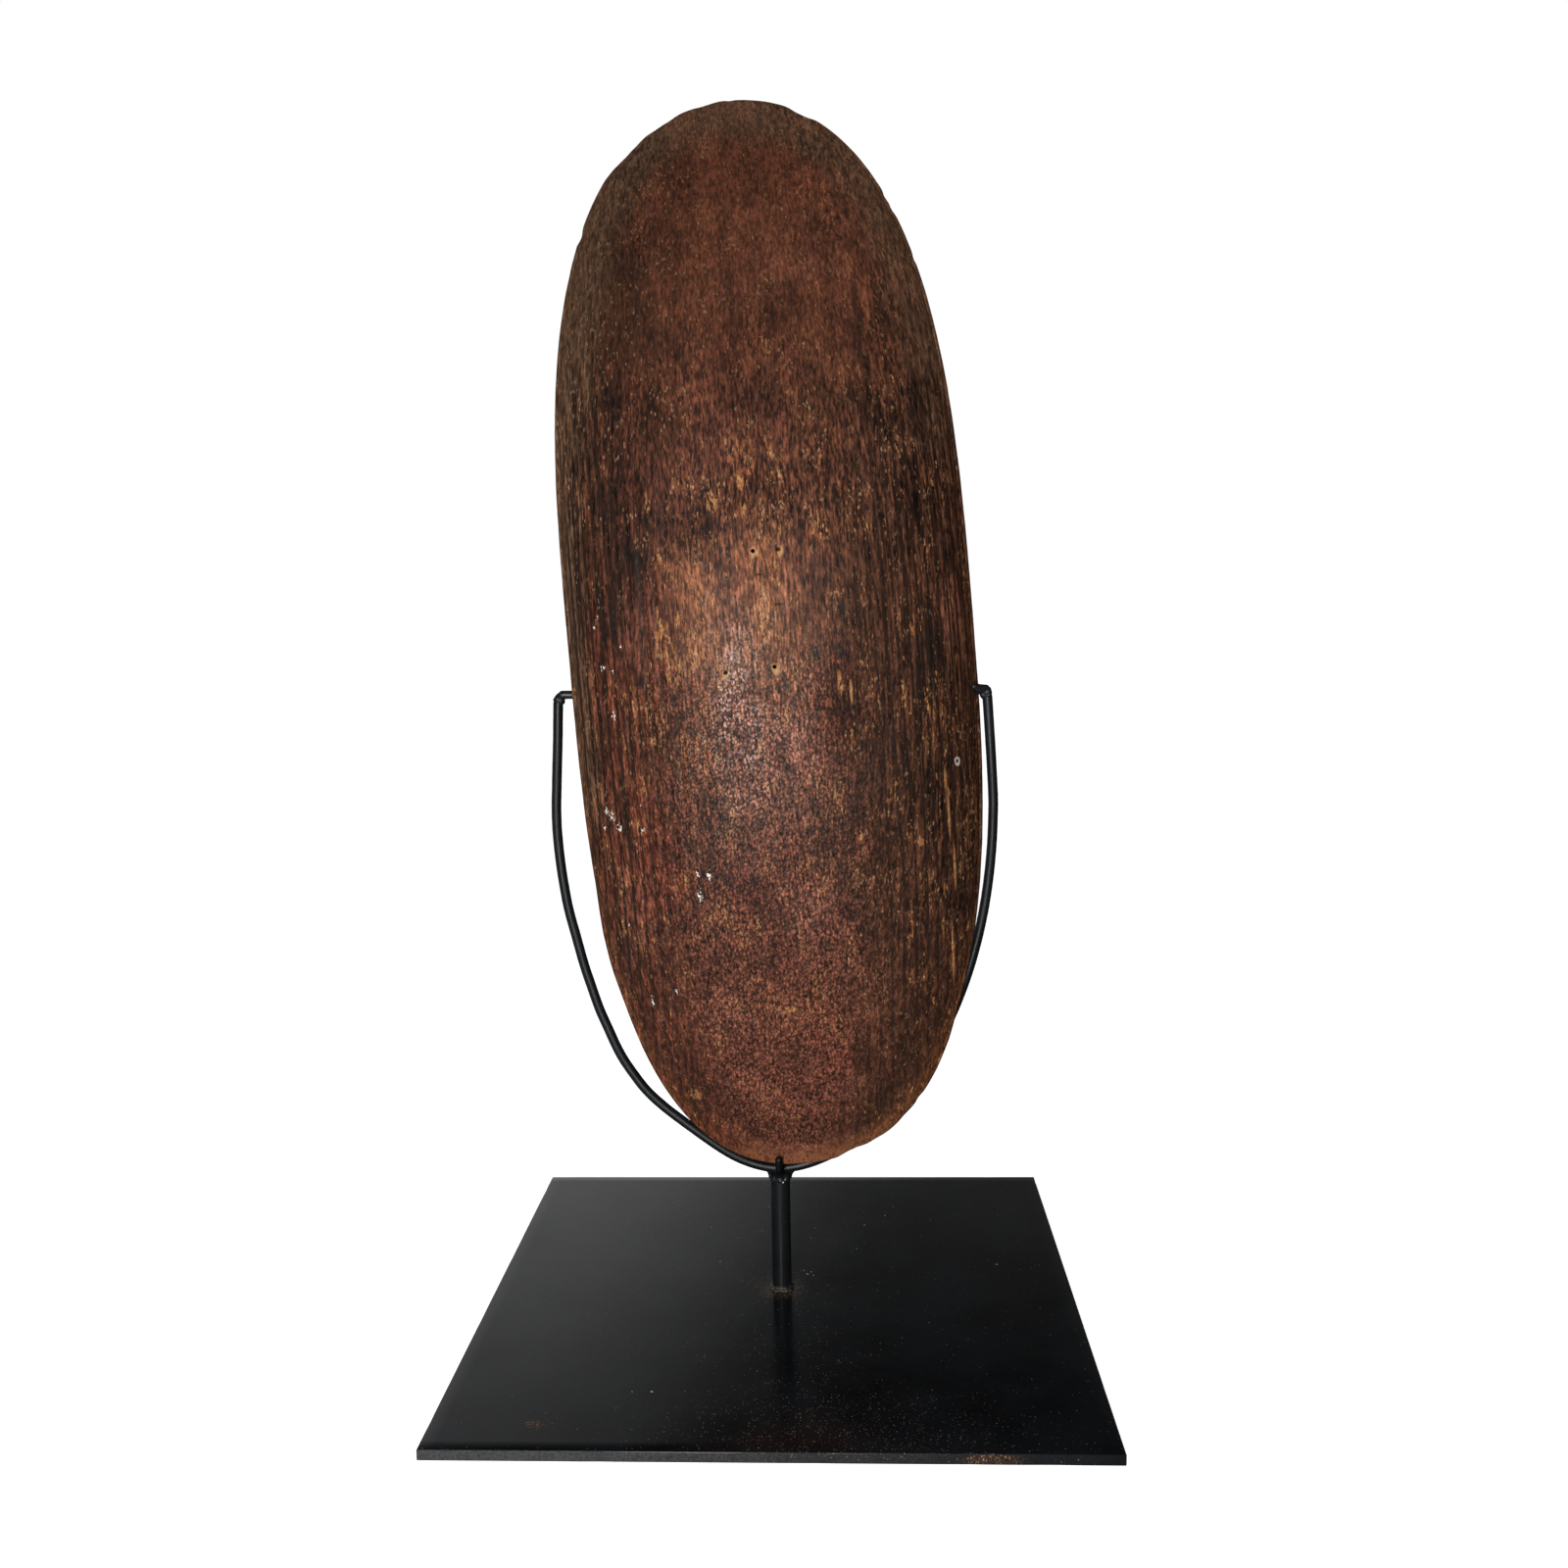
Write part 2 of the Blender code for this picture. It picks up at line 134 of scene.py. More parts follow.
def split(place):
    node = place.tree.nodes.new("ShaderNodeSeparateXYZ")
    feed(place.tree, place, node.inputs[0])
    return [Field(place.tree, socket) for socket in node.outputs]


def vector_step(operation, first, second=None, slot=1):
    """A Vector Math node. A length comes out of its second output, all else out of its first."""
    node = first.tree.nodes.new("ShaderNodeVectorMath")
    node.operation = operation
    feed(first.tree, first, node.inputs[0])
    if second is not None:
        feed(first.tree, second, node.inputs[slot])
    return Field(first.tree, node.outputs[1 if operation == "LENGTH" else 0])


def cloud(place, scale, detail=2.0, roughness=0.5):
    """Soft random value around 0.5 that changes over 1 / scale metres."""
    node = place.tree.nodes.new("ShaderNodeTexNoise")
    for value, name in ((place, "Vector"), (scale, "Scale"), (detail, "Detail"), (roughness, "Roughness")):
        feed(place.tree, value, node.inputs[name])
    return Field(place.tree, node.outputs[0])


def cells(place):
    """The distance to the nearest of many scattered points, and that point's own random colour."""
    node = place.tree.nodes.new("ShaderNodeTexVoronoi")
    node.inputs["Scale"].default_value = 1.0
    feed(place.tree, place, node.inputs["Vector"])
    return Field(place.tree, node.outputs["Distance"]), split(Field(place.tree, node.outputs["Color"]))


def mixed(below, colour, mask, blend="MIX"):
    """Lays a colour over another one where the mask is 1."""
    tree = (mask if isinstance(mask, Field) else colour).tree
    node = tree.nodes.new("ShaderNodeMix")
    node.data_type = "RGBA"
    node.blend_type = blend
    feed(tree, mask, node.inputs["Factor"])
    for value, index in ((below, 6), (colour, 7)):
        feed(tree, value if isinstance(value, Field) else (*value, 1.0), node.inputs[index])
    return Field(tree, node.outputs[2])


def coats(colour, *layers):
    """Lays colours over one another in turn, each by its own mask."""
    for tone, mask in layers:
        colour = mixed(colour, tone, mask)
    return colour


def shaded(colour, factor):
    """A colour made lighter or darker."""
    return mixed(colour, factor, 1.0, "MULTIPLY")


ORIGIN = (0.0, 0.0, 0.0)


def effect_group(name, **inputs):
    """A shader group that puts out one mask. Returns it with its inputs as Fields and a call that ends it."""
    tree = bpy.data.node_groups.new(name, "ShaderNodeTree")
    for label, start in inputs.items():
        kind = "NodeSocketVector" if isinstance(start, tuple) else "NodeSocketFloat"
        socket = tree.interface.new_socket(label, in_out="INPUT", socket_type=kind)
        socket.default_value = start
    tree.interface.new_socket("Mask", in_out="OUTPUT", socket_type="NodeSocketFloat")
    start = tree.nodes.new("NodeGroupInput")
    end = tree.nodes.new("NodeGroupOutput")

    def close(mask):
        tree.links.new(mask.socket, end.inputs["Mask"])
        return tree

    return [Field(tree, start.outputs[label]) for label in inputs], close


def effect(group, place, **values):
    """Puts an effect group into a material and returns its mask."""
    node = place.tree.nodes.new("ShaderNodeGroup")
    node.node_tree = group
    feed(place.tree, place, node.inputs["Place"])
    for label, value in values.items():
        feed(place.tree, value, node.inputs[label.capitalize()])
    return Field(place.tree, node.outputs["Mask"])


def stretched(place, across, along):
    x, y, z = split(place)
    return place_at(place.tree, x * across, y * across, z * along)


def streaks_group():
    """Lines that run along Z, as wood fibre or drawn steel has them."""
    (place, across, along, detail), close = effect_group(
        "Streaks", Place=ORIGIN, Across=400.0, Along=30.0, Detail=3.0)
    return close(cloud(stretched(place, across, along), 1.0, detail, 0.6))


def specks_group():
    """Scattered grains. Share is the part of the cells that hold one, and Size its width in cells."""
    (place, across, along, share, size), close = effect_group(
        "Specks", Place=ORIGIN, Across=300.0, Along=300.0, Share=0.2, Size=0.5)
    near, (lot, size_lot, _) = cells(stretched(place, across, along))
    present = lot.step("LESS_THAN", share)
    reach = size * (0.35 + 0.65 * size_lot)
    return close(present * (near / reach).fall(0.55, 1.0))


def patch_group():
    """One patch around a point, soft where Softness is high. Tear moves its edge out and in."""
    (place, centre, reach, tear, softness), close = effect_group(
        "Patch", Place=ORIGIN, Centre=ORIGIN, Reach=(0.01, 0.01, 0.01), Tear=0.0, Softness=0.6)
    apart = vector_step("DIVIDE", vector_step("SUBTRACT", place, centre), reach)
    far = vector_step("LENGTH", apart) + tear
    return close(far.fall(1 - softness, 1.0))


STREAKS = streaks_group()
SPECKS = specks_group()
PATCH = patch_group()


def new_material(name):
    """An empty Principled material, its shader and its Object coordinates."""
    material = bpy.data.materials.new(name)
    material.use_nodes = True
    tree = material.node_tree
    return material, tree.nodes["Principled BSDF"], input_field(tree, "ShaderNodeTexCoord", "Object")


def raised(shader, height, depth):
    """Bump of a real depth in metres."""
    node = height.tree.nodes.new("ShaderNodeBump")
    node.inputs["Distance"].default_value = depth
    feed(height.tree, height, node.inputs["Height"])
    height.tree.links.new(node.outputs["Normal"], shader.inputs["Normal"])


IRON_BLACK = (0.0028, 0.003, 0.0034)
IRON_BLUE_GREY = (0.008, 0.0092, 0.0108)
DUST = (0.3, 0.235, 0.165)
RUST = (0.34, 0.165, 0.075)
DEEP_RUST = (0.09, 0.034, 0.015)
SCUFF_AND_REFLECTION_GREY = (0.06, 0.06, 0.06)
DIRT_BROWN = (0.12, 0.066, 0.034)
GRIT_AND_GLINT_WHITE = (0.6, 0.56, 0.5)
BLUED_TINT = (0.92, 0.97, 1.0, 1.0)


def blackened_iron(name, dust_share, dust_spacing, gloss=0.42, sheen=0.5, unevenness=0.16, speck_size=0.2,
                   grit_depth=0.00006, edge_wear_and_painted_reflection=None, rusty_places=(), dusty_places=(), gritty_places=(),
                   grit_and_glint_specks=()):
    """Waxed black steel: blue-grey clouds and grains of dust, with grit, rust, pale specks and painted glints
    where asked for, and an edge with scuffs and a painted reflection.
    """
    material, shader, place = new_material(name)
    tree = material.node_tree
    haze = cloud(place, 14.0, 3.0, 0.55).rise(0.3, 0.7)
    fine = cloud(place, 900.0, 2.0, 0.6)
    tear = 1.6 * (cloud(place, 520.0, 3.0, 0.65) - 0.5)

    def spot(centre, reach, softness, ragged=1.0):
        return effect(PATCH, place, centre=centre, reach=reach, tear=ragged * tear, softness=softness)

    def grains(per_metre, share, size):
        return effect(SPECKS, place, across=per_metre, along=per_metre, share=share, size=size)

    share = dust_share
    for centre, reach, most in gritty_places:
        share = share + most * spot(centre, reach, 1.0, 0.3)
    dust = grains(1 / dust_spacing, share, speck_size)
    dirt = dust * (0.55 + 0.45 * cloud(place, 60.0).rise(0.4, 0.7))
    for centre, reach, strength in dusty_places:
        dirt = dirt.at_least(strength * spot(centre, reach, 0.9))
    colour = shaded(mixed(IRON_BLACK, IRON_BLUE_GREY, haze), 0.5 + fine)
    colour = mixed(colour, mixed(DIRT_BROWN, DUST, fine.rise(0.42, 0.6)), dirt * 0.88)
    # Pale specks: grit on the plate, and on the post's weld, crumbs of slag painted bright as glints.
    for x, y, z, wide in grit_and_glint_specks:
        colour = mixed(colour, GRIT_AND_GLINT_WHITE, spot((x, y, z), (wide, wide, wide), 0.4, 0.3))
    if rusty_places:
        rust = strongest([spot(centre, reach, 0.6) for centre, reach in rusty_places])
        rust = rust * (0.1 + 0.9 * grains(760.0, 0.55, 0.8))
        colour = mixed(colour, mixed(DEEP_RUST, RUST, fine.rise(0.42, 0.58)), rust)
        dirt = dirt.at_least(rust)
    # The plate's front edge: real scuffs, plus a painted reflection of the bright left of the room. It is
    # strong at the left end and fades out towards the right.
    if edge_wear_and_painted_reflection:
        x, y, _ = split(place)
        edge = (-y).rise(edge_wear_and_painted_reflection - 0.0006, edge_wear_and_painted_reflection)
        dirt = dirt.at_least(edge * 0.35)
        scuffs_and_painted_reflection = edge * (0.55 + 0.45 * fine.rise(0.35, 0.6)) * (0.02 + 0.98 * (-x).rise(-0.19, 0.16))
        colour = mixed(colour, SCUFF_AND_REFLECTION_GREY, scuffs_and_painted_reflection)
    feed(tree, colour, shader.inputs["Base Color"])
    rough = gloss + 2 * unevenness * (cloud(place, 45.0, 3.0, 0.6) - 0.5) + 0.35 * dirt + 0.1 * (fine - 0.5)
    feed(tree, rough.clamped(), shader.inputs["Roughness"])
    shader.inputs["Specular IOR Level"].default_value = sheen
    shader.inputs["Specular Tint"].default_value = BLUED_TINT
    raised(shader, cloud(place, 1300.0, 2.0, 0.6) + 0.8 * dust + 0.5 * cloud(place, 260.0), grit_depth)
    return material


def smoothed(mesh, work, sharp_angle):
    """Writes a bmesh to a mesh with its faces outwards, smooth but for its crisp edges."""
    bmesh.ops.recalc_face_normals(work, faces=work.faces)
    work.to_mesh(mesh)
    work.free()
    mesh.shade_smooth()
    mesh.set_sharp_from_angle(angle=math.radians(sharp_angle))


def in_scene(name, data):
    item = bpy.data.objects.new(name, data)
    bpy.context.scene.collection.objects.link(item)
    return item


def own_mesh(name, work, material, sharp_angle=35.0):
    """Ends a bmesh as a piece of one material."""
    mesh = bpy.data.meshes.new(name)
    smoothed(mesh, work, sharp_angle)
    mesh.materials.append(material)
    return in_scene(name, mesh)


def fitted(item, node):
    """Puts a finished piece in a CAD node's stead."""
    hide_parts(node)
    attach(item, "root")


def sheared_plate(material):
    low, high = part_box("base_plate")
    size = high - low
    middle = (low + high) / 2
    work = bmesh.new()
    bmesh.ops.create_cube(work, size=1.0)
    placed = Matrix.Translation(middle) @ Matrix.Diagonal((*size, 1.0))
    bmesh.ops.transform(work, matrix=placed, verts=work.verts)
    bmesh.ops.bevel(work, geom=work.edges[:], offset=PLATE_EDGE_ROUNDING, segments=3, profile=0.5,
                    affect="EDGES")
    count = round(size.x / PLATE_CELL)
    for axis, normal in enumerate(((1, 0, 0), (0, 1, 0))):
        for i in range(1, count):
            point = Vector(low)
            point[axis] += size[axis] * i / count
            whole = work.verts[:] + work.edges[:] + work.faces[:]
            bmesh.ops.bisect_plane(work, geom=whole, plane_co=point, plane_no=normal)
    for vertex in work.verts:
        co = vertex.co
        wave = noise.noise(Vector((co.x * WAVES_PER_METRE, co.y * WAVES_PER_METRE, 3.0)))
        if co.z > middle.z:
            co.z -= PLATE_WAVE * (0.5 + 0.5 * wave)
        for axis in (0, 1):
            if abs(co[axis] - middle[axis]) > size[axis] / 2 - 2 * PLATE_EDGE_ROUNDING:
                spot = Vector((co.x * DENTS_PER_METRE, co.y * DENTS_PER_METRE, 9.0 + axis))
                dent = max(0.0, noise.noise(spot) - DENT_START)
                co[axis] -= math.copysign(EDGE_DENT * dent, co[axis] - middle[axis])
    return own_mesh("steel_base_plate", work, material, 30.0)


def in_metres(rows):
    """Rows of millimetres as rows of metres."""
    return [tuple(value / 1000 for value in row) for row in rows]


# Pale grains on the plate in millimetres: place across and along, and half their width
GRIT_SPECKS = in_metres([
    (16.4, 20.6, 0.91), (19, 24, 0.63), (13.8, 26.2, 0.63), (20.5, 19, 0.56), (56, 99.7, 0.7),
    (71.5, 117, 0.63), (-70.2, -130, 0.91), (-81.6, -130.1, 0.56), (145.3, 36.1, 0.77),
    (-44.3, 39.7, 0.56), (-55.5, 96, 0.49), (20, 94.5, 0.56), (17.5, 78, 0.56), (78, 133, 0.49),
    (-83, 135, 0.49), (-15, 133, 0.49), (-18, 90, 0.49), (-35, 77, 0.49), (50, 60, 0.49)])
PLATE_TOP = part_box("base_plate")[1].z
PLATE_HALF = -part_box("base_plate")[0].y
# Each place has its centre and its reach, and how strongly dust or grit lies there
RUSTY_PLACES = [((-0.1315, -0.1645, PLATE_TOP), (0.0065, 0.005, 0.003)),
                ((0.12, -0.1905, 0.003), (0.022, 0.003, 0.004))]
GRITTY_PLACES = [((0.045, -0.172, PLATE_TOP), (0.15, 0.066, 0.01), 0.85),
                 ((0.01, -0.1, PLATE_TOP), (0.07, 0.1, 0.01), 0.22),
                 ((0.0, 0.004, PLATE_TOP), (0.036, 0.032, 0.01), 0.45),
                 ((-0.13, -0.16, PLATE_TOP), (0.02, 0.018, 0.01), 0.22),
                 ((0.062, 0.11, PLATE_TOP), (0.022, 0.018, 0.01), 0.16)]
plate_steel = blackened_iron(
    "waxed_black_plate", sheen=0.13, gloss=0.13, unevenness=0.08, dust_share=0.05, dust_spacing=0.0015,
    speck_size=0.36, grit_depth=0.00003, edge_wear_and_painted_reflection=PLATE_HALF, rusty_places=RUSTY_PLACES,
    dusty_places=[((0.0, 0.0, PLATE_TOP), (0.02, 0.02, 0.004), 0.35)], gritty_places=GRITTY_PLACES,
    grit_and_glint_specks=[(x, y, PLATE_TOP, wide) for x, y, wide in GRIT_SPECKS])
fitted(sheared_plate(plate_steel), "base_plate")


# Post
# A short length of half inch round bar, stood on the plate and welded round its foot. Its top is welded to
# the middle of the cradle rod, and the weld has run out along the rod to both sides.

POST_RADIUS = 0.00635
POST_SIDES = 48
FOOT_BEADS = 17
FOOT_BEAD_RADIUS = 0.0013
FOOT_BEAD_HEIGHT = 0.0007
FOOT_BEAD_OUT = 0.0006
FOOT_BEAD_SWING = 0.0003
# Lumps of weld in millimetres from the top's middle: place and radius, then pale crumbs of slag painted
# bright as glints
TOP_WELD = in_metres([
    (0, 0.6, -0.8, 5), (-4, 1.6, -0.8, 3.8), (4, 1.6, -0.8, 3.8), (-5.8, 2.6, 0.8, 2.6),
    (5.8, 2.6, 0.8, 2.6), (-7.6, 3.2, 2.2, 1.9), (7.6, 3.2, 2.2, 1.9), (-3.4, -2.2, -1.4, 3.4),
    (3.6, -2, -1.2, 3.4), (0, -3.6, -1.4, 3)])
SLAG_AND_PAINTED_GLINTS = in_metres([
    (-5.4, -4, -2.6, 0.6), (-6.2, -2.4, -1.2, 0.5), (0.4, -6.2, -1.4, 0.5), (2, -6, -2.6, 0.6),
    (3.4, -5.2, -1, 0.5)])
WELD_SKIN = 0.00045
WELD_EASE = 6


def lump(work, centre, radius, fineness=3):
    """A rough ball of weld metal."""
    ball = bmesh.ops.create_icosphere(work, subdivisions=fineness, radius=radius)["verts"]
    for vertex in ball:
        bump = noise.noise(Vector(centre) * 900 + vertex.co * 700)
        vertex.co = vertex.co * (1 + 0.16 * bump) + Vector(centre)


def settled(item):
    """Makes what the modifiers show the piece's own plain mesh."""
    evaluated = item.evaluated_get(bpy.context.evaluated_depsgraph_get())
    mesh = bpy.data.meshes.new_from_object(evaluated)
    item.modifiers.clear()
    item.data = mesh


def run_together(item, skin, ease):
    """Melts overlapping forms into one closed skin."""
    melt = item.modifiers.new("Melt", "REMESH")
    melt.mode = "VOXEL"
    melt.voxel_size = skin
    relax = item.modifiers.new("Ease", "SMOOTH")
    relax.factor = 0.5
    relax.iterations = ease
    settled(item)
    item.data.shade_smooth()
    return item


def welded_post(material):
    low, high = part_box("post")
    work = bmesh.new()
    height = high.z - low.z
    middle = Matrix.Translation((0, 0, low.z + height / 2))
    bmesh.ops.create_cone(work, cap_ends=True, segments=POST_SIDES, radius1=POST_RADIUS, radius2=POST_RADIUS,
                          depth=height, matrix=middle)
    for i in range(FOOT_BEADS):
        angle = 2 * math.pi * i / FOOT_BEADS
        reach = POST_RADIUS + FOOT_BEAD_OUT + FOOT_BEAD_SWING * math.sin(5 * angle)
        centre = (reach * math.cos(angle), reach * math.sin(angle), low.z + FOOT_BEAD_HEIGHT)
        lump(work, centre, FOOT_BEAD_RADIUS)
    for x, y, z, radius in TOP_WELD:
        lump(work, (x, y, high.z + z), radius)
    return run_together(own_mesh("welded_post", work, material), WELD_SKIN, WELD_EASE)


POST_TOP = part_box("post")[1].z
# The pale specks on the weld are slag crumbs painted bright as glints.
post_iron = blackened_iron(
    "blackened_bar", sheen=0.24, dust_share=0.1, dust_spacing=0.0016,
    dusty_places=[((0.0, 0.0, PLATE_TOP + 0.001), (0.011, 0.011, 0.004), 0.5)],
    grit_and_glint_specks=[(x, y, POST_TOP + z, wide) for x, y, z, wide in SLAG_AND_PAINTED_GLINTS])
fitted(welded_post(post_iron), "post")


# Cradle rod
# One length of quarter inch rod, bent cold into a tall U that follows the shield's lower half. Its middle
# crosses the back of the post's top, and both ends are cut off square and carry a lump of weld.

ROD_RADIUS = 0.003175
CRADLE_HALF_WIDTH = 0.1393
BOWL_DEPTH = 0.242
BOWL_WIDTH_POWER = 1.75
BOWL_DEPTH_POWER = 2.14
BOWL_SET_BACK = 0.004
BOWL_STEPS = 60
ARM_LENGTH = 0.069
ARM_LEAN_IN = 0.0042
ARM_LEAN_POWER = 1.2
ARM_STEPS = 12
# Lumps of weld in millimetres from the arm's end: place and radius
LEFT_ARM_WELD = in_metres([
    (0, 0, -0.8, 3.2), (1, 0, 0.6, 3), (2.4, 0, 1.9, 2.8), (4, 0, 2.2, 2.7), (1.6, 0, -1.4, 2.8)])
RIGHT_ARM_WELD = in_metres([
    (0, 0, -0.4, 3.3), (-0.4, -0.4, 1.4, 3.2), (-3, -0.6, 2, 2.9), (-1.6, 0, -1.4, 2.9),
    (-5, -0.8, 1.8, 2.6)])
ARM_WELD_SKIN = 0.00035
ARM_WELD_EASE = 3
# Heights above the U's lowest point, and how far the left side was bent out by hand there, in millimetres
LEFT_BENDS = in_metres([
    (0, 0), (20, -2.4), (56, 4.2), (72, 4.3), (100, 2.3), (127, 1), (153, 0.5), (180, 1.3), (225, 1.6),
    (256, 1), (281, 0.9), (311, 1.3)])
ROD_SIZES = {"Radius": ROD_RADIUS, "End radius": ROD_RADIUS, "Sides": 24, "Ring step": 0.0024,
             "End rounding": 0.001, "Unevenness": 0.0001, "Seed": 1.0, "Iron": post_iron}


def geometry_tree(name, sizes):
    """A Geometry Nodes tree with a named input for each size, those inputs as Fields, and the tree's ends."""
    tree = bpy.data.node_groups.new(name, "GeometryNodeTree")
    kinds = {int: "NodeSocketInt", float: "NodeSocketFloat", bpy.types.Material: "NodeSocketMaterial"}
    for way in ("INPUT", "OUTPUT"):
        tree.interface.new_socket("Mesh", in_out=way, socket_type="NodeSocketGeometry")
    for label, value in sizes.items():
        tree.interface.new_socket(label, in_out="INPUT", socket_type=kinds[type(value)])
    start = tree.nodes.new("NodeGroupInput")
    end = tree.nodes.new("NodeGroupOutput")
    return tree, {label: Field(tree, start.outputs[label]) for label in sizes}, start, end


def chain(tree, flow, *steps):
    """Runs geometry through nodes in turn. A step is a node type with values for its named sockets."""
    for kind, values in steps:
        node = tree.nodes.new(kind)
        for label, value in values.items():
            if label.islower():
                setattr(node, label, value)
            else:
                feed(tree, value, node.inputs[label])
        tree.links.new(flow, node.inputs[0])
        flow = node.outputs[0]
    return flow


def grown(name, tree, sizes, start_mesh):
    """Runs a tree on a start mesh and keeps the result as a plain mesh."""
    item = in_scene(name, start_mesh)
    modifier = item.modifiers.new(tree.name, "NODES")
    modifier.node_group = tree
    for socket in tree.interface.items_tree:
        if socket.item_type == "SOCKET" and socket.in_out == "INPUT" and socket.name in sizes:
            modifier[socket.identifier] = sizes[socket.name]
    settled(item)
    return item


def rod_tree():
    """Sweeps a round bar along an edge path, with rounded ends and the small unevenness of hot iron."""
    tree, size, start, end = geometry_tree("Bent round bar", ROD_SIZES)
    along = input_field(tree, "GeometryNodeSplineParameter", "Length")
    share = input_field(tree, "GeometryNodeSplineParameter", "Factor")
    whole = input_field(tree, "GeometryNodeSplineLength", "Length")
    inside = (along.at_most(whole - along) / size["End rounding"]).clamped()
    rounding = 0.25 + 0.75 * (1 - (1 - inside) ** 2) ** 0.5
    taper = size["Radius"] + (size["End radius"] - size["Radius"]) * share
    profile = tree.nodes.new("GeometryNodeCurvePrimitiveCircle")
    profile.inputs["Radius"].default_value = 1.0
    feed(tree, size["Sides"], profile.inputs["Resolution"])
    shift = place_at(tree, size["Seed"], 0.0, 0.0)
    moved = vector_step("ADD", input_field(tree, "GeometryNodeInputPosition"), shift)
    wobble = (cloud(moved, 160.0, 3.0, 0.55) - 0.5) * 2 * size["Unevenness"]
    offset = vector_step("SCALE", input_field(tree, "GeometryNodeInputNormal"), wobble, "Scale")
    path = chain(tree, start.outputs["Mesh"],
                 ("GeometryNodeMeshToCurve", {}),
                 ("GeometryNodeResampleCurve", {"mode": "LENGTH", "Length": size["Ring step"]}))
    skin = chain(tree, path,
                 ("GeometryNodeCurveToMesh", {"Profile Curve": Field(tree, profile.outputs["Curve"]),
                                              "Scale": taper * rounding, "Fill Caps": True}),
                 ("GeometryNodeSetPosition", {"Offset": offset}),
                 ("GeometryNodeRealizeInstances", {}),
                 ("GeometryNodeSetMaterial", {"Material": size["Iron"]}))
    tree.links.new(skin, end.inputs["Mesh"])
    return tree


ROD_TREE = rod_tree()


def bent_bar(name, path, material, **sizes):
    """A bar along a path, given as points."""
    start = bpy.data.meshes.new(name + "_path")
    start.from_pydata([tuple(p) for p in path], [(i, i + 1) for i in range(len(path) - 1)], [])
    values = dict(ROD_SIZES, Iron=material)
    values.update({label.replace("_", " ").capitalize(): value for label, value in sizes.items()})
    item = grown(name, ROD_TREE, values, start)
    work = bmesh.new()
    work.from_mesh(item.data)
    smoothed(item.data, work, 40)
    return item


def joined_to(item, other):
    """Welds another form to a piece with an exact union and drops the other."""
    union = item.modifiers.new("Weld", "BOOLEAN")
    union.operation = "UNION"
    union.solver = "EXACT"
    union.object = other
    settled(item)
    bpy.data.objects.remove(other, do_unlink=True)


low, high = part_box("cradle_rod")
BOWL_BOTTOM = low.z + ROD_RADIUS
BOWL_TOP = BOWL_BOTTOM + BOWL_DEPTH
ARM_TOP = BOWL_TOP + ARM_LENGTH
ROD_Y = POST_RADIUS - ROD_RADIUS


def rod_y(z):
    return ROD_Y + BOWL_SET_BACK * math.sin(math.pi * (z - BOWL_BOTTOM) / (ARM_TOP - BOWL_BOTTOM))


def bent_out(z):
    """The left side's extra reach at a height, smooth between the bends."""
    height = z - BOWL_BOTTOM
    for (start, before), (end, after) in zip(LEFT_BENDS, LEFT_BENDS[1:]):
        if height <= end:
            share = (height - start) / (end - start)
            return before + (after - before) * share * share * (3 - 2 * share)
    return LEFT_BENDS[-1][1]


def cradle_path():
    """Centre line of the U, from the left arm's end to the right arm's end."""
    half = []
    for i in range(BOWL_STEPS + 1):
        angle = math.pi / 2 * (1 - i / BOWL_STEPS)
        x = CRADLE_HALF_WIDTH * max(math.cos(angle), 0) ** (2 / BOWL_WIDTH_POWER)
        z = BOWL_TOP - BOWL_DEPTH * math.sin(angle) ** (2 / BOWL_DEPTH_POWER)
        half.append((x, rod_y(z), z))
    for i in range(1, ARM_STEPS + 1):
        share = i / ARM_STEPS
        z = BOWL_TOP + ARM_LENGTH * share
        half.append((CRADLE_HALF_WIDTH - ARM_LEAN_IN * share ** ARM_LEAN_POWER, rod_y(z), z))
    return [(-x - bent_out(z), y, z) for x, y, z in reversed(half)] + half[1:]


rod_iron = blackened_iron("blackened_rod", sheen=0.27, dust_share=0.06, dust_spacing=0.0018,
                          grit_depth=0.00007)
cradle = bent_bar("iron_cradle", cradle_path(), rod_iron, unevenness=0.00012, end_rounding=0.0006)
arm_x = CRADLE_HALF_WIDTH - ARM_LEAN_IN
for name, foot_x, lumps in (("left_weld", -arm_x - bent_out(ARM_TOP), LEFT_ARM_WELD),
                            ("right_weld", arm_x, RIGHT_ARM_WELD)):
    work = bmesh.new()
    for x, y, z, radius in lumps:
        lump(work, (foot_x + x, rod_y(ARM_TOP) + y, ARM_TOP + z), radius, 4)
    joined_to(cradle, run_together(own_mesh(name, work, rod_iron), ARM_WELD_SKIN, ARM_WELD_EASE))
fitted(cradle, "cradle_rod")


# Tips
# Two short ends of thin rod that reach from the arms to the shield's rim: the left one slips behind the rim,
# the right one is shorter, rises a little and bears on its front. Their ends are filed round.

TIP_RADIUS = 0.0027
LEFT_TIP_DROP = 0.0006
RIGHT_TIP_DROP = 0.0004
RIGHT_TIP_END_RADIUS = 0.0018
RIGHT_TIP_END_DROP = 0.0012
RIGHT_TIP_START = 0.0022

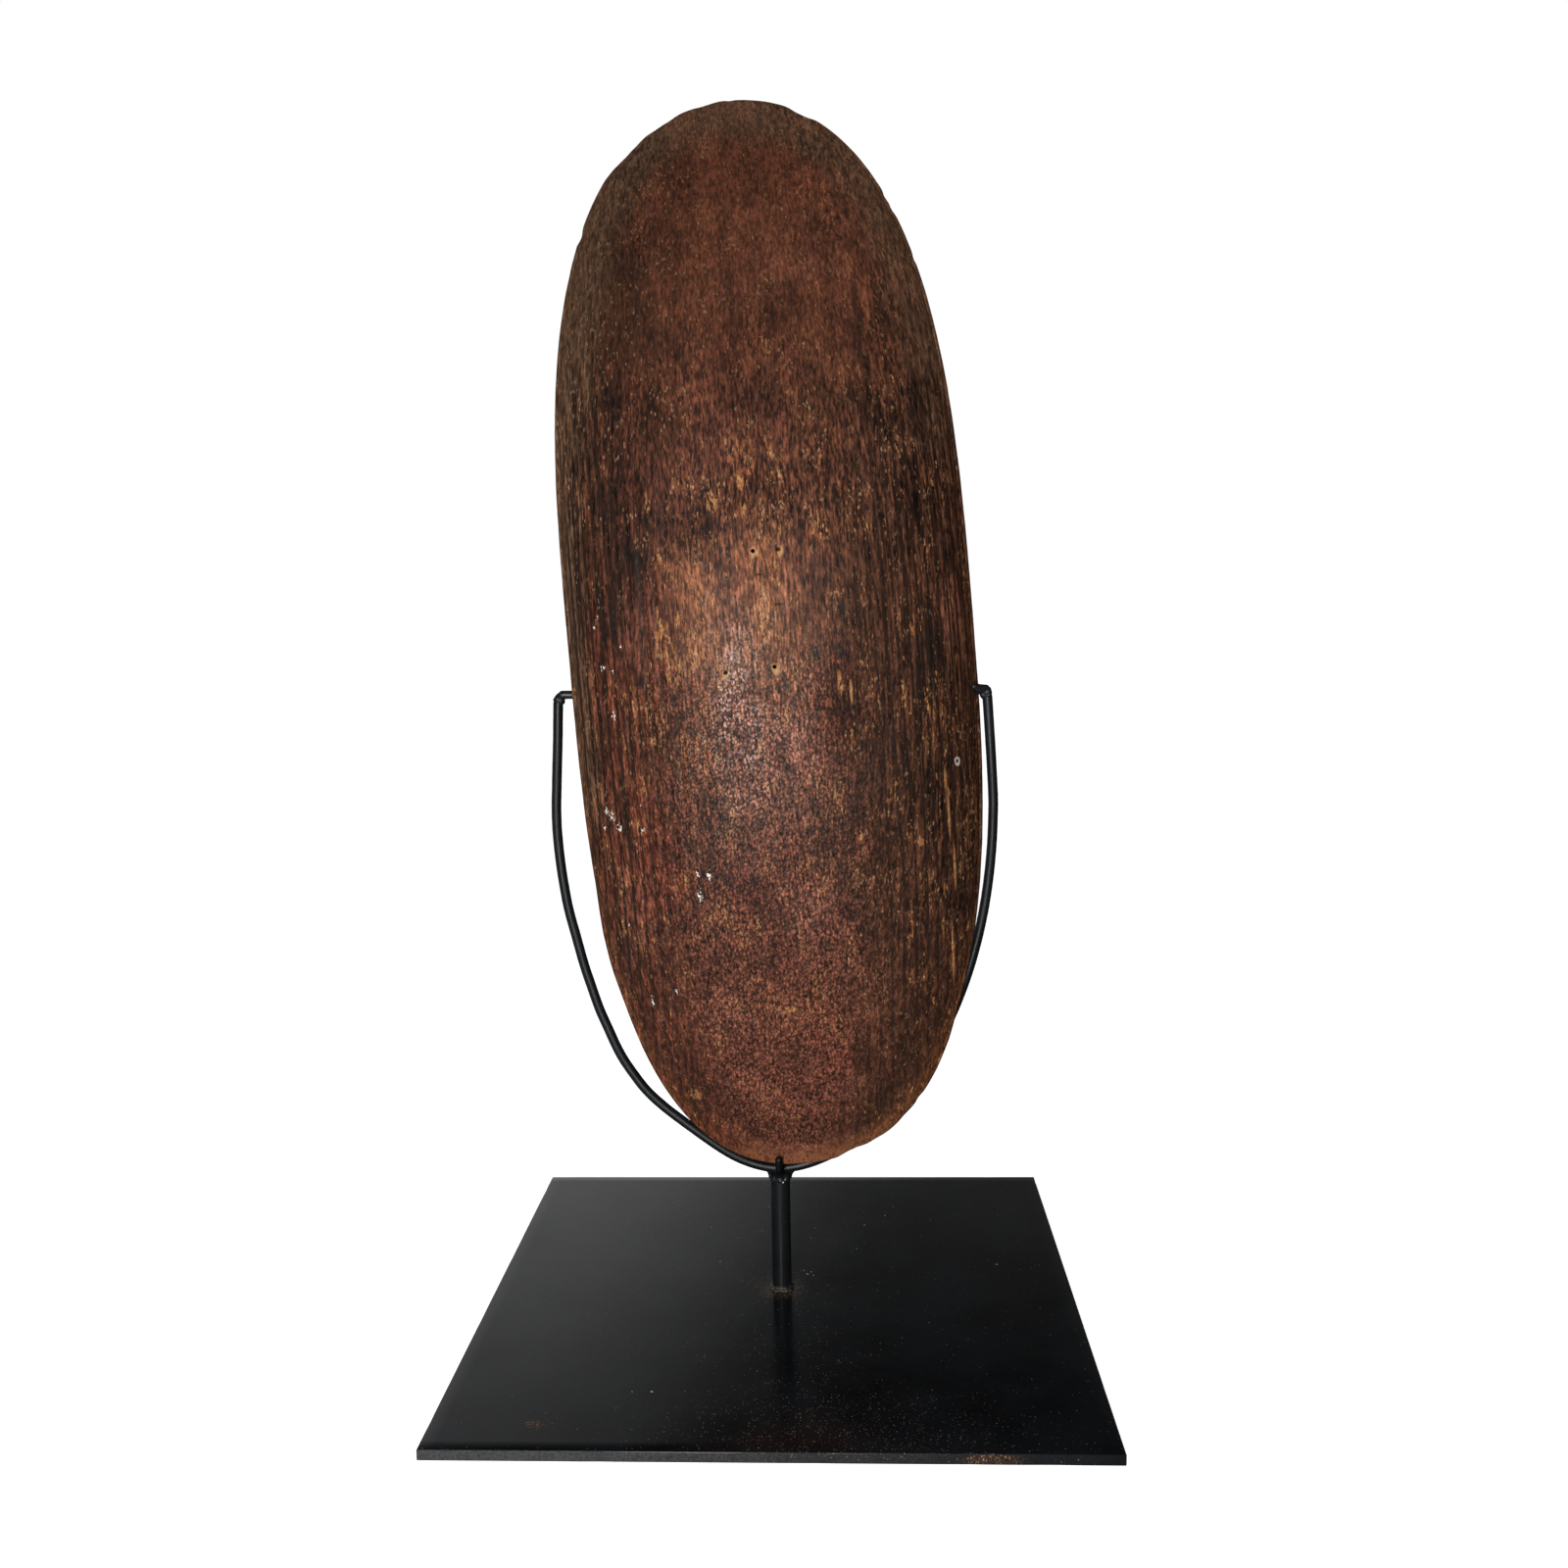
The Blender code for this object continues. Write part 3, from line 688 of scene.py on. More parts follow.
tip_iron = blackened_iron("worn_tip", gloss=0.38, dust_share=0.35, dust_spacing=0.0016, grit_depth=0.00012)
low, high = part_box("left_tip")
TIP_Z = low.z + TIP_RADIUS
left_y = (low.y + high.y) / 2
left_z = TIP_Z - LEFT_TIP_DROP
left_path = [(low.x + 0.0003, left_y, left_z), (high.x - 0.0002, left_y, left_z)]
fitted(bent_bar("left_tip_bar", left_path, tip_iron, radius=TIP_RADIUS, end_radius=TIP_RADIUS,
                ring_step=0.0006, end_rounding=0.0016, unevenness=0.0002, seed=4.0), "left_tip")
low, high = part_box("right_tip")
right_end = (low.x + 0.0004, low.y + RIGHT_TIP_END_RADIUS, high.z - RIGHT_TIP_END_RADIUS - RIGHT_TIP_END_DROP)
right_path = [(high.x - RIGHT_TIP_START, rod_y(ARM_TOP), TIP_Z - RIGHT_TIP_DROP), right_end]
fitted(bent_bar("right_tip_bar", right_path, tip_iron, radius=TIP_RADIUS, end_radius=RIGHT_TIP_END_RADIUS,
                ring_step=0.0005, end_rounding=0.0014, unevenness=0.0002, seed=7.0), "right_tip")


# Front prong
# A thin rod welded to the post's top. It runs forward under the shield, turns up in front of the rim and
# keeps the shield from sliding off. Its end is filed round.

PRONG_RADIUS = 0.0023
PRONG_BEND = 0.0035
PRONG_BEND_STEPS = 8
PRONG_LEAN = math.radians(7)
PRONG_FOOT_HEIGHT = 0.008
PRONG_TO_ROD = 0.00175

low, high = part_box("front_prong")
foot_y = ROD_Y - ROD_RADIUS - PRONG_TO_ROD - PRONG_RADIUS
foot_z = POST_TOP + PRONG_FOOT_HEIGHT
front_lean = (high.z - foot_z) * math.tan(PRONG_LEAN)
top_z = high.z - PRONG_RADIUS * math.sin(PRONG_LEAN)
top_y = low.y + PRONG_RADIUS
corners = [Vector((0, y, z)) for y, z in
           ((foot_y, low.z + 0.0002), (foot_y, foot_z), (top_y + front_lean, foot_z), (top_y, top_z))]
prong_path = [corners[0]]
for before, corner, after in zip(corners, corners[1:], corners[2:]):
    back = (before - corner).normalized()
    ahead = (after - corner).normalized()
    run = PRONG_BEND / math.tan(back.angle(ahead) / 2)
    for i in range(PRONG_BEND_STEPS + 1):
        t = i / PRONG_BEND_STEPS
        prong_path.append((1 - t) ** 2 * (corner + back * run) + 2 * t * (1 - t) * corner
                          + t ** 2 * (corner + ahead * run))
prong_path.append(corners[-1])
fitted(bent_bar("bent_prong", prong_path, rod_iron, radius=PRONG_RADIUS, end_radius=PRONG_RADIUS,
                ring_step=0.0006, end_rounding=0.0022, unevenness=0.00012, seed=9.0), "front_prong")


# Shield
# One long oval cut from a softwood log and dished with an adze: domed across, bowed along its length, with a
# thin rim. Fine flutes run down the front. The whole face is rubbed with red ochre and fat, darkened by hands
# and smoke, and worn to bare wood along the rim and on the ridges.

SHIELD_LENGTH = 0.6814
SHIELD_WIDTH = 0.2562
CREST_RISE = 0.05
RIM_THICKNESS = 0.008
BACK_DEPTH = 0.013
BLANK_SIZES = {"Length": SHIELD_LENGTH, "Width": SHIELD_WIDTH, "Crest rise": CREST_RISE,
               "End fallback": 0.017, "Rim thickness": RIM_THICKNESS, "Rim rounding": 0.0026,
               "Back depth": BACK_DEPTH, "Flute pitch": 0.0081, "Flute depth": 0.0007, "Adze marks": 0.0005,
               "Front columns": 232, "Rim columns": 9, "Back columns": 56, "Rows": 296, "Seed": 3.0}
WIDTH_POWER = 2.23
TOP_LENGTH_POWER = 3.15
BOTTOM_LENGTH_POWER = 2.98
SWAY_TWIST = -0.0017
SWAY_BEND = 0.0031
CREST_WIDTH_POWER = 2.6
CREST_EDGE_POWER = 0.8
BACK_WIDTH_POWER = 3.0
SURFACE_GAIN = 0.1132
SURFACE_GAIN_POWER = 5.07
COLUMN_SPREAD = 0.124
COLUMN_SPREAD_POWER = 4.38
ROW_SPREAD = 0.25
ROW_SPREAD_POWER = 5.0
# Where the rim is chipped or worn flat, in millimetres: place across and along, reach and depth. It stands
# proud where the depth is below zero.
CHIPS = in_metres([
    (-100, 259, 7, 1.3), (-112, 235, 8, 0.7), (-75, 299.5, 10, 0.7), (-64.5, 311, 18, 2.6),
    (-44, 326.2, 24, 2.9), (-20, 336.5, 16, 1.5), (-20, 340.5, 6, 0.6), (0, 340.7, 5, 0.8),
    (44.1, 327.4, 12, 1.4), (89.6, 269.7, 6, 1.3), (94.2, 262.9, 7, 0.8), (103.3, 230.1, 6, 1.3),
    (-114, -190, 45, -1.4), (99, -261, 18, -0.5), (82, -293, 50, -2.1), (76.2, -300.9, 6, 1),
    (57, -320, 14, -1), (32.5, -332.5, 12, 1.4)])


def outline_at(v):
    """The outline's length power and its sideways sway at a share of the half length."""
    power = BOTTOM_LENGTH_POWER + (TOP_LENGTH_POWER - BOTTOM_LENGTH_POWER) * v.step("GREATER_THAN", 0)
    return power, SWAY_TWIST * (v * math.pi).step("SINE") + SWAY_BEND * (1 - v * v)


def kept_as(name, value):
    """A step that stores a value on the mesh for the wood's material."""
    values = {"data_type": "FLOAT", "domain": "POINT", "Name": name, "Value": value}
    return "GeometryNodeStoreNamedAttribute", values


def shield_tree(sizes):
    """The blank before the hollow: columns round the section and rows along it, closed at both ends."""
    tree, size, _, end = geometry_tree("Carved shield blank", sizes)
    front, rim, back = size["Front columns"], size["Rim columns"], size["Back columns"]
    around = front + back + 2 * rim
    half_length = size["Length"] / 2 - size["Rim rounding"]
    half_width = size["Width"] / 2 - size["Rim rounding"]

    grid = tree.nodes.new("GeometryNodeMeshGrid")
    counts = {"Size X": 1.0, "Size Y": 1.0, "Vertices X": around + 1, "Vertices Y": size["Rows"] + 1}
    for label, value in counts.items():
        feed(tree, value, grid.inputs[label])
    across, along, _ = split(input_field(tree, "GeometryNodeInputPosition"))
    column = ((across + 0.5) * around).step("ROUND")
    over_front = (column / front).clamped()
    over_right = ((column - front) / rim).clamped()
    over_back = ((column - front - rim) / back).clamped()
    over_left = ((column - front - rim - back) / rim).clamped()
    share = (over_front - over_back) * 2 - 1
    behind = over_right - over_left

    hand = share.step("SIGN")
    spread = (1 + COLUMN_SPREAD) * share - COLUMN_SPREAD * hand * abs(share) ** COLUMN_SPREAD_POWER
    cross = abs(spread).at_most(1)
    t = (along * 2).at_least(-1).at_most(1)
    v = t * (1 + ROW_SPREAD) - ROW_SPREAD * t.step("SIGN") * abs(t) ** ROW_SPREAD_POWER
    long_power, sway = outline_at(v)
    width = (1 - abs(v) ** long_power).at_least(0) ** (1 / WIDTH_POWER)

    out_x = hand * WIDTH_POWER * width ** (WIDTH_POWER - 1) / half_width
    out_z = v.step("SIGN") * long_power * abs(v) ** (long_power - 1) / half_length
    steep = (out_x * out_x + out_z * out_z) ** 0.5
    flat_x = spread * width * half_width
    flat_z = v * half_length

    chip = 0.0
    for chip_x, chip_z, reach, depth in CHIPS:
        apart = ((flat_x - chip_x) ** 2 + (flat_z - chip_z) ** 2) ** 0.5
        chip = chip + depth * (apart / reach).fall(0.15, 1.0)
    ragged = 0.0005 * (cloud(place_at(tree, flat_x * 60, flat_z * 60, size["Seed"]), 1.0, 3.0, 0.6) - 0.5)
    bulge = size["Rim rounding"] * (behind * math.pi).step("SINE").at_least(0) ** 0.75
    outward = bulge + cross ** 14 * (ragged - chip)
    bow = 1 - v * v
    dome = size["Crest rise"] * bow * (1 - cross ** CREST_WIDTH_POWER).at_least(0) ** CREST_EDGE_POWER
    dish = size["Back depth"] * bow * (1 - cross ** BACK_WIDTH_POWER)
    rim_y = -0.5 * size["Rim thickness"] * (behind * math.pi).step("COSINE")
    y = size["End fallback"] * v * v + rim_y - (1 - behind) * dome - behind * dish
    shaped = place_at(tree, flat_x + sway + out_x / steep * outward, y, flat_z + out_z / steep * outward)
    flow = chain(tree, grid.outputs["Mesh"],
                 kept_as("behind", behind),
                 ("GeometryNodeSetPosition", {"Position": shaped}),
                 ("GeometryNodeMergeByDistance", {"Distance": 2e-6}))

    named = tree.nodes.new("GeometryNodeInputNamedAttribute")
    named.data_type = "FLOAT"
    named.inputs["Name"].default_value = "behind"
    in_front = 1 - Field(tree, named.outputs[0])
    x, y, z = split(input_field(tree, "GeometryNodeInputPosition"))
    v = z / half_length
    long_power, sway = outline_at(v)
    u = ((x - sway) / half_width).at_least(-1).at_most(1)
    filled = abs(u) ** WIDTH_POWER + abs(v) ** long_power
    slope_x = WIDTH_POWER * abs(u) ** (WIDTH_POWER - 1) / half_width
    slope_z = long_power * abs(v) ** (long_power - 1) / half_length
    from_rim = ((1 - filled) / (slope_x * slope_x + slope_z * slope_z + 1.0) ** 0.5).at_least(0)

    def swell(across, along, shift, detail=2.0, roughness=0.5):
        return cloud(place_at(tree, x * across, z * along, size["Seed"] + shift), 1.0, detail, roughness)

    surface = half_width * (u + SURFACE_GAIN * u.step("SIGN") * abs(u) ** SURFACE_GAIN_POWER)
    phase = surface / size["Flute pitch"] + 1.1 * (swell(22, 4.5, 5) - 0.5) + 0.5
    wave = 0.5 + 0.5 * (phase * 2 * math.pi).step("COSINE")
    uneven = swell(90, 9, 11, 3.0, 0.6).rise(0.25, 0.75)
    flank = 0.05 + 0.95 * (-u).rise(0.25, 0.65) + 0.45 * u.rise(0.3, 0.75)
    cut = wave ** 1.6 * uneven * flank * v.fall(0.35, 0.75) * (-v).fall(0.8, 0.98) * in_front
    adze = swell(26, 11, 0) - 0.5
    dimple = swell(120, 60, 2, 2.0, 0.55) - 0.5
    facet = swell(70, 24, 7, 1.0, 0.4) - 0.5
    lift_front = size["Adze marks"] * (1.6 * adze + 0.5 * dimple) - size["Flute depth"] * cut
    lift_back = size["Adze marks"] * (3.0 * facet + 1.5 * adze)
    to_front = in_front.rise(0.4, 0.6)
    lift = from_rim.rise(0.0015, 0.008) * (to_front * lift_front + (1 - to_front) * lift_back)
    offset = vector_step("SCALE", input_field(tree, "GeometryNodeInputNormal"), lift, "Scale")
    flow = chain(tree, flow,
                 kept_as("groove", wave * in_front),
                 kept_as("from_rim", from_rim),
                 ("GeometryNodeSetPosition", {"Offset": offset}),
                 ("GeometryNodeRealizeInstances", {}),
                 ("GeometryNodeSetMaterial", {"Material": size["Wood"]}))
    tree.links.new(flow, end.inputs["Mesh"])
    return tree


GRIP_X = -0.006
GRIP_Z = 0.013
GRIP_WIDTH = 0.03
GRIP_END_WIDTH = 0.052
GRIP_THICKNESS = 0.014
GRIP_SET_IN = 0.005
GRIP_DROP = 0.008
GRIP_SQUARENESS = 0.8
GRIP_END_REACH = 0.02
GRIP_RINGS = 49
GRIP_SIDES = 36
KNIFE_MARK = 0.0005
HOLLOW_LENGTH = 0.136
HOLLOW_WIDTH = 0.104
FRONT_WALL = 0.011
GOUGE_MARK = 0.0011
CREST_Y = -CREST_RISE - RIM_THICKNESS / 2
BACK_Y = RIM_THICKNESS / 2 - BACK_DEPTH
HOLLOW_FLOOR_Y = CREST_Y + FRONT_WALL
GRIP_BACK_Y = RIM_THICKNESS / 2 - GRIP_SET_IN
HOLE_RADIUS = 0.0013
# Lashing holes in millimetres, across and along the shield, and how far each one slants in degrees
HOLES = in_metres([
    (-7.8, 48.3), (8, 48.4), (-29.6, -22.6), (0.4, -21.1)])
HOLE_SLANTS = [0, -24, 24, 0]


def finger_hollow():
    """A bowl scooped out of the back with a gouge, whose strokes run along the grain."""
    work = bmesh.new()
    bmesh.ops.create_uvsphere(work, u_segments=120, v_segments=64, radius=1)
    half = Vector((HOLLOW_WIDTH / 2, BACK_Y - HOLLOW_FLOOR_Y, HOLLOW_LENGTH / 2))
    centre = Vector((GRIP_X, BACK_Y, GRIP_Z))
    for vertex in work.verts:
        out = vertex.co.copy()
        place = Vector(out[i] * half[i] for i in range(3))
        stroke = noise.voronoi(Vector((place.x * 105, place.y * 105, place.z * 42)))[0][0]
        vertex.co = centre + place + out.normalized() * GOUGE_MARK * (0.5 - stroke)
    return work


def squared(value):
    return math.copysign(abs(value) ** GRIP_SQUARENESS, value)


def grip_bar():
    """The bar left standing across the hollow, with knife facets along it."""
    work = bmesh.new()
    loops = []
    for i in range(GRIP_RINGS):
        t = 2 * i / (GRIP_RINGS - 1) - 1
        y = GRIP_BACK_Y - GRIP_THICKNESS / 2 - GRIP_DROP * abs(t) ** 3
        z = GRIP_Z + t * (HOLLOW_LENGTH / 2 + GRIP_END_REACH)
        half_width = (GRIP_WIDTH + (GRIP_END_WIDTH - GRIP_WIDTH) * t * t) / 2
        loop = []
        for j in range(GRIP_SIDES):
            angle = 2 * math.pi * (j + 0.5) / GRIP_SIDES
            across, depth = math.cos(angle), math.sin(angle)
            knife = KNIFE_MARK * noise.noise(Vector((4 * across, 4 * depth, 6 * t)))
            loop.append(work.verts.new((GRIP_X + half_width * squared(across) * (1 + 12 * knife),
                                        y + (GRIP_THICKNESS / 2 + knife) * squared(depth), z)))
        loops.append(loop)
    for first, second in zip(loops, loops[1:]):
        for j in range(GRIP_SIDES):
            k = (j + 1) % GRIP_SIDES
            work.faces.new((first[j], first[k], second[k], second[j]))
    work.faces.new(loops[0])
    work.faces.new(loops[-1][::-1])
    return work


def lashing_holes():
    """Four holes burnt through the floor of the hollow with a hot wire."""
    front = CREST_Y - FRONT_WALL
    back = (HOLLOW_FLOOR_Y + GRIP_BACK_Y - GRIP_THICKNESS) / 2
    work = bmesh.new()
    for (x, z), slant in zip(HOLES, HOLE_SLANTS):
        turned = Matrix.Rotation(math.radians(-slant), 4, "Z")
        inward = (Matrix.Translation((x + SWAY_BEND, CREST_Y, z)) @ turned
                  @ Matrix.Translation((0, (front + back) / 2 - CREST_Y, 0)))
        bmesh.ops.create_cone(work, cap_ends=True, segments=16, radius1=HOLE_RADIUS, radius2=HOLE_RADIUS,
                              depth=back - front, matrix=inward @ Matrix.Rotation(math.radians(90), 4, "X"))
    return work


TILT = math.radians(3.2)
TURN = math.radians(3.0)
LEAN_BACK = math.radians(5.0)
STANCE_PLACE = Vector((-0.0034, 0.00498, 0.43567))
stance = Matrix.Rotation(-LEAN_BACK, 4, "X") @ Matrix.Rotation(TURN, 4, "Z") @ Matrix.Rotation(-TILT, 4, "Y")

RED_OCHRE = (0.108, 0.034, 0.019)
OX_RED = (0.12, 0.024, 0.013)
DARK_RED = (0.046, 0.0145, 0.008)
PINK_BROWN = (0.205, 0.072, 0.047)
PLUM_BROWN = (0.205, 0.074, 0.046)
DARK_UMBER = (0.016, 0.0075, 0.005)
SMOKED_TOP = (0.056, 0.0178, 0.0082)
SMOKED_LEFT = (0.034, 0.0125, 0.0058)
RUDDY_TOP = (0.125, 0.042, 0.023)
OLIVE_BROWN = (0.047, 0.019, 0.0098)
OLIVE_TAN = (0.15, 0.08, 0.036)
WARM_BROWN = (0.18, 0.062, 0.022)
WORN_ORANGE = (0.3, 0.105, 0.032)
WORN_RED = (0.205, 0.076, 0.037)
BARE_TAN = (0.55, 0.31, 0.13)
HOLE_TAN = (0.44, 0.235, 0.095)
GRAIN_TAN = (0.36, 0.215, 0.12)
CHALK = (0.85, 0.8, 0.72)
SOOT = (0.0095, 0.0075, 0.0065)
# Pale grey for painted light on the top rim and a painted sheen on the left edge
PAINTED_SHEEN_GREY = (0.082, 0.046, 0.026)
SCRAPED_DARK = (0.085, 0.034, 0.018)
SCRAPED_PALE = (0.17, 0.085, 0.043)
HIGHLIGHT_TINT = (1.0, 0.88, 0.83, 1.0)
PAINT_RELIEF = 0.00026
SCRAPED_RELIEF = 0.0003

# Marks on the front in millimetres, each with its place across and along, and half its width and height
SMOKED_PLACE = in_metres([(-64, 78, 50, 68)])
RUDDY_PLACE = in_metres([(34, 228, 80, 62)])
DIM_PLACES = in_metres([
    (30, 142, 62, 48), (-36, 236, 40, 50), (-41.7, 56, 24, 30), (-71.2, 58, 20, 30),
    (-67.5, -56.7, 18, 26), (20, 74, 70, 34), (-56, 135, 28, 36), (35, 192, 32, 30)])
DEEP_PLACES = in_metres([
    (-60, 134, 52, 44), (15, 196, 40, 42), (-43, 64, 28, 36), (10, 80, 64, 30), (118, -178, 22, 60),
    (100, -112, 28, 48), (46, 244, 32, 40), (-56, 296, 48, 36), (-64, 244, 38, 40), (-8, 140, 30, 30),
    (-81, 70, 28, 40), (-79, -52, 26, 36), (47, -52, 26, 36), (85, 130, 28, 44), (-58, -282, 24, 26)])
LIGHTER_PLACES = in_metres([
    (-3, -82, 43, 76), (15, -170, 26, 38), (-38, -233, 22, 30), (-100, -184, 22, 56), (-80, 8, 18, 30),
    (112, 8, 18, 36)])
OLIVE_STREAKS = in_metres([
    (-108.5, 85, 3.5, 45), (-96.5, 70, 2.2, 28), (-100, 165, 3, 30)])
SOOT_STAINS = in_metres([
    (45.6, 10.4, 5, 7.5), (29, -14.6, 4.5, 5), (41.7, -11.5, 4, 4.5), (44.5, -16.3, 4.5, 6.5),
    (10.2, 99.5, 4.5, 5), (-78, -25, 5, 6)])
SOOT_STREAKS = in_metres([
    (-93, 76, 10, 42), (-78, 52, 9, 38), (-96, 12, 8, 40), (-82, -18, 6, 30), (95, -25, 12, 50),
    (70, -70, 9, 45)])
CHALK_SPECKS = in_metres([
    (-102.6, 17.2, 1.3, 2.2), (-105.1, 11.3, 1, 2.2), (-88.7, -2, 1.2, 2), (-101.2, -13.4, 2.6, 3.6),
    (-95.7, -17, 2.2, 2.6), (-96.5, -42.8, 2, 5), (-106.3, -101.8, 2.2, 5), (-103, -105, 3, 5),
    (-98.7, -112.7, 2.8, 5), (-84.1, -98.9, 1.8, 2), (-83, -113.9, 3.6, 1.8), (-108.4, -112, 1.6, 3.6),
    (-51.7, -143.8, 2.2, 4.6), (-44.6, -145, 2.2, 6.6), (-51.5, -157, 2.4, 8), (-98, -174, 1.8, 2.2),
    (-109.1, -191.9, 1.4, 2), (-71.1, -217.7, 1.8, 4), (-86.7, -223.8, 1.6, 6)])
WORN_CLUSTERS = in_metres([
    (-9.5, 90.5, 3, 11), (-8.8, 74, 2.6, 10), (-26.9, 79.5, 6, 8), (9.6, 106.4, 3, 7),
    (-73.7, 102.1, 2.8, 6), (-65.9, 83.1, 3, 8), (-60.4, 49.7, 2.8, 8), (-61.2, -3, 7.5, 19),
    (-63.5, 12, 3.5, 11), (-52.3, 11.3, 4, 9), (-56.5, -20, 10, 13), (12.2, 58.1, 3, 7),
    (42, -33.9, 2.4, 11), (89.1, -1.1, 2.6, 9), (94.7, -50.4, 2.2, 8), (79.9, -43.3, 2.2, 12),
    (64.4, -47.6, 2.2, 8), (100.8, -162.9, 2, 13), (104, -204, 1.3, 20), (100, -247.9, 2.2, 13),
    (86, -132.2, 5, 4.5), (-65.8, -287.3, 7, 5), (-2, -232.7, 9, 3)])
BARE_SCRATCHES = in_metres([
    (48.2, -38.5, 1.3, 9.5), (104, -95.7, 1.2, 8.5), (105.2, -118, 1.1, 19), (107.5, -151, 1.2, 19),
    (104, -205, 0.8, 27), (-9.5, 88, 2, 4), (9.8, 107, 1.4, 4.5), (59.4, -174, 1, 1.2),
    (69.6, -175.3, 1.1, 1), (78.2, -176.5, 1, 1.1)])
NICKS_AND_PIT = in_metres([(-2.2, 34.1, 3.4, 0.7), (9.1, 15.8, 4.4, 0.8), (-28.6, 281.7, 2, 2.2)])
WHITE_RING = in_metres([(112.7, -85.4, 2.4, 3.4)])
RING_INSIDE = in_metres([(112.7, -85.4, 1.2, 1.7)])
HOLE_HALOS = [(x + SWAY_BEND + 0.0004, z - 0.0014, 0.0031, 0.0044) for x, z in HOLES]


def on_shield(place):
    """Turns Object coordinates into the shield's own: X across, -Y out of the front, Z along."""
    node = place.tree.nodes.new("ShaderNodeMapping")
    node.vector_type = "TEXTURE"
    node.inputs["Location"].default_value = STANCE_PLACE
    node.inputs["Rotation"].default_value = stance.to_euler("XYZ")
    feed(place.tree, place, node.inputs["Vector"])
    return Field(place.tree, node.outputs[0])


def attribute(tree, name):
    node = tree.nodes.new("ShaderNodeAttribute")
    node.attribute_name = name
    return Field(tree, node.outputs["Fac"])


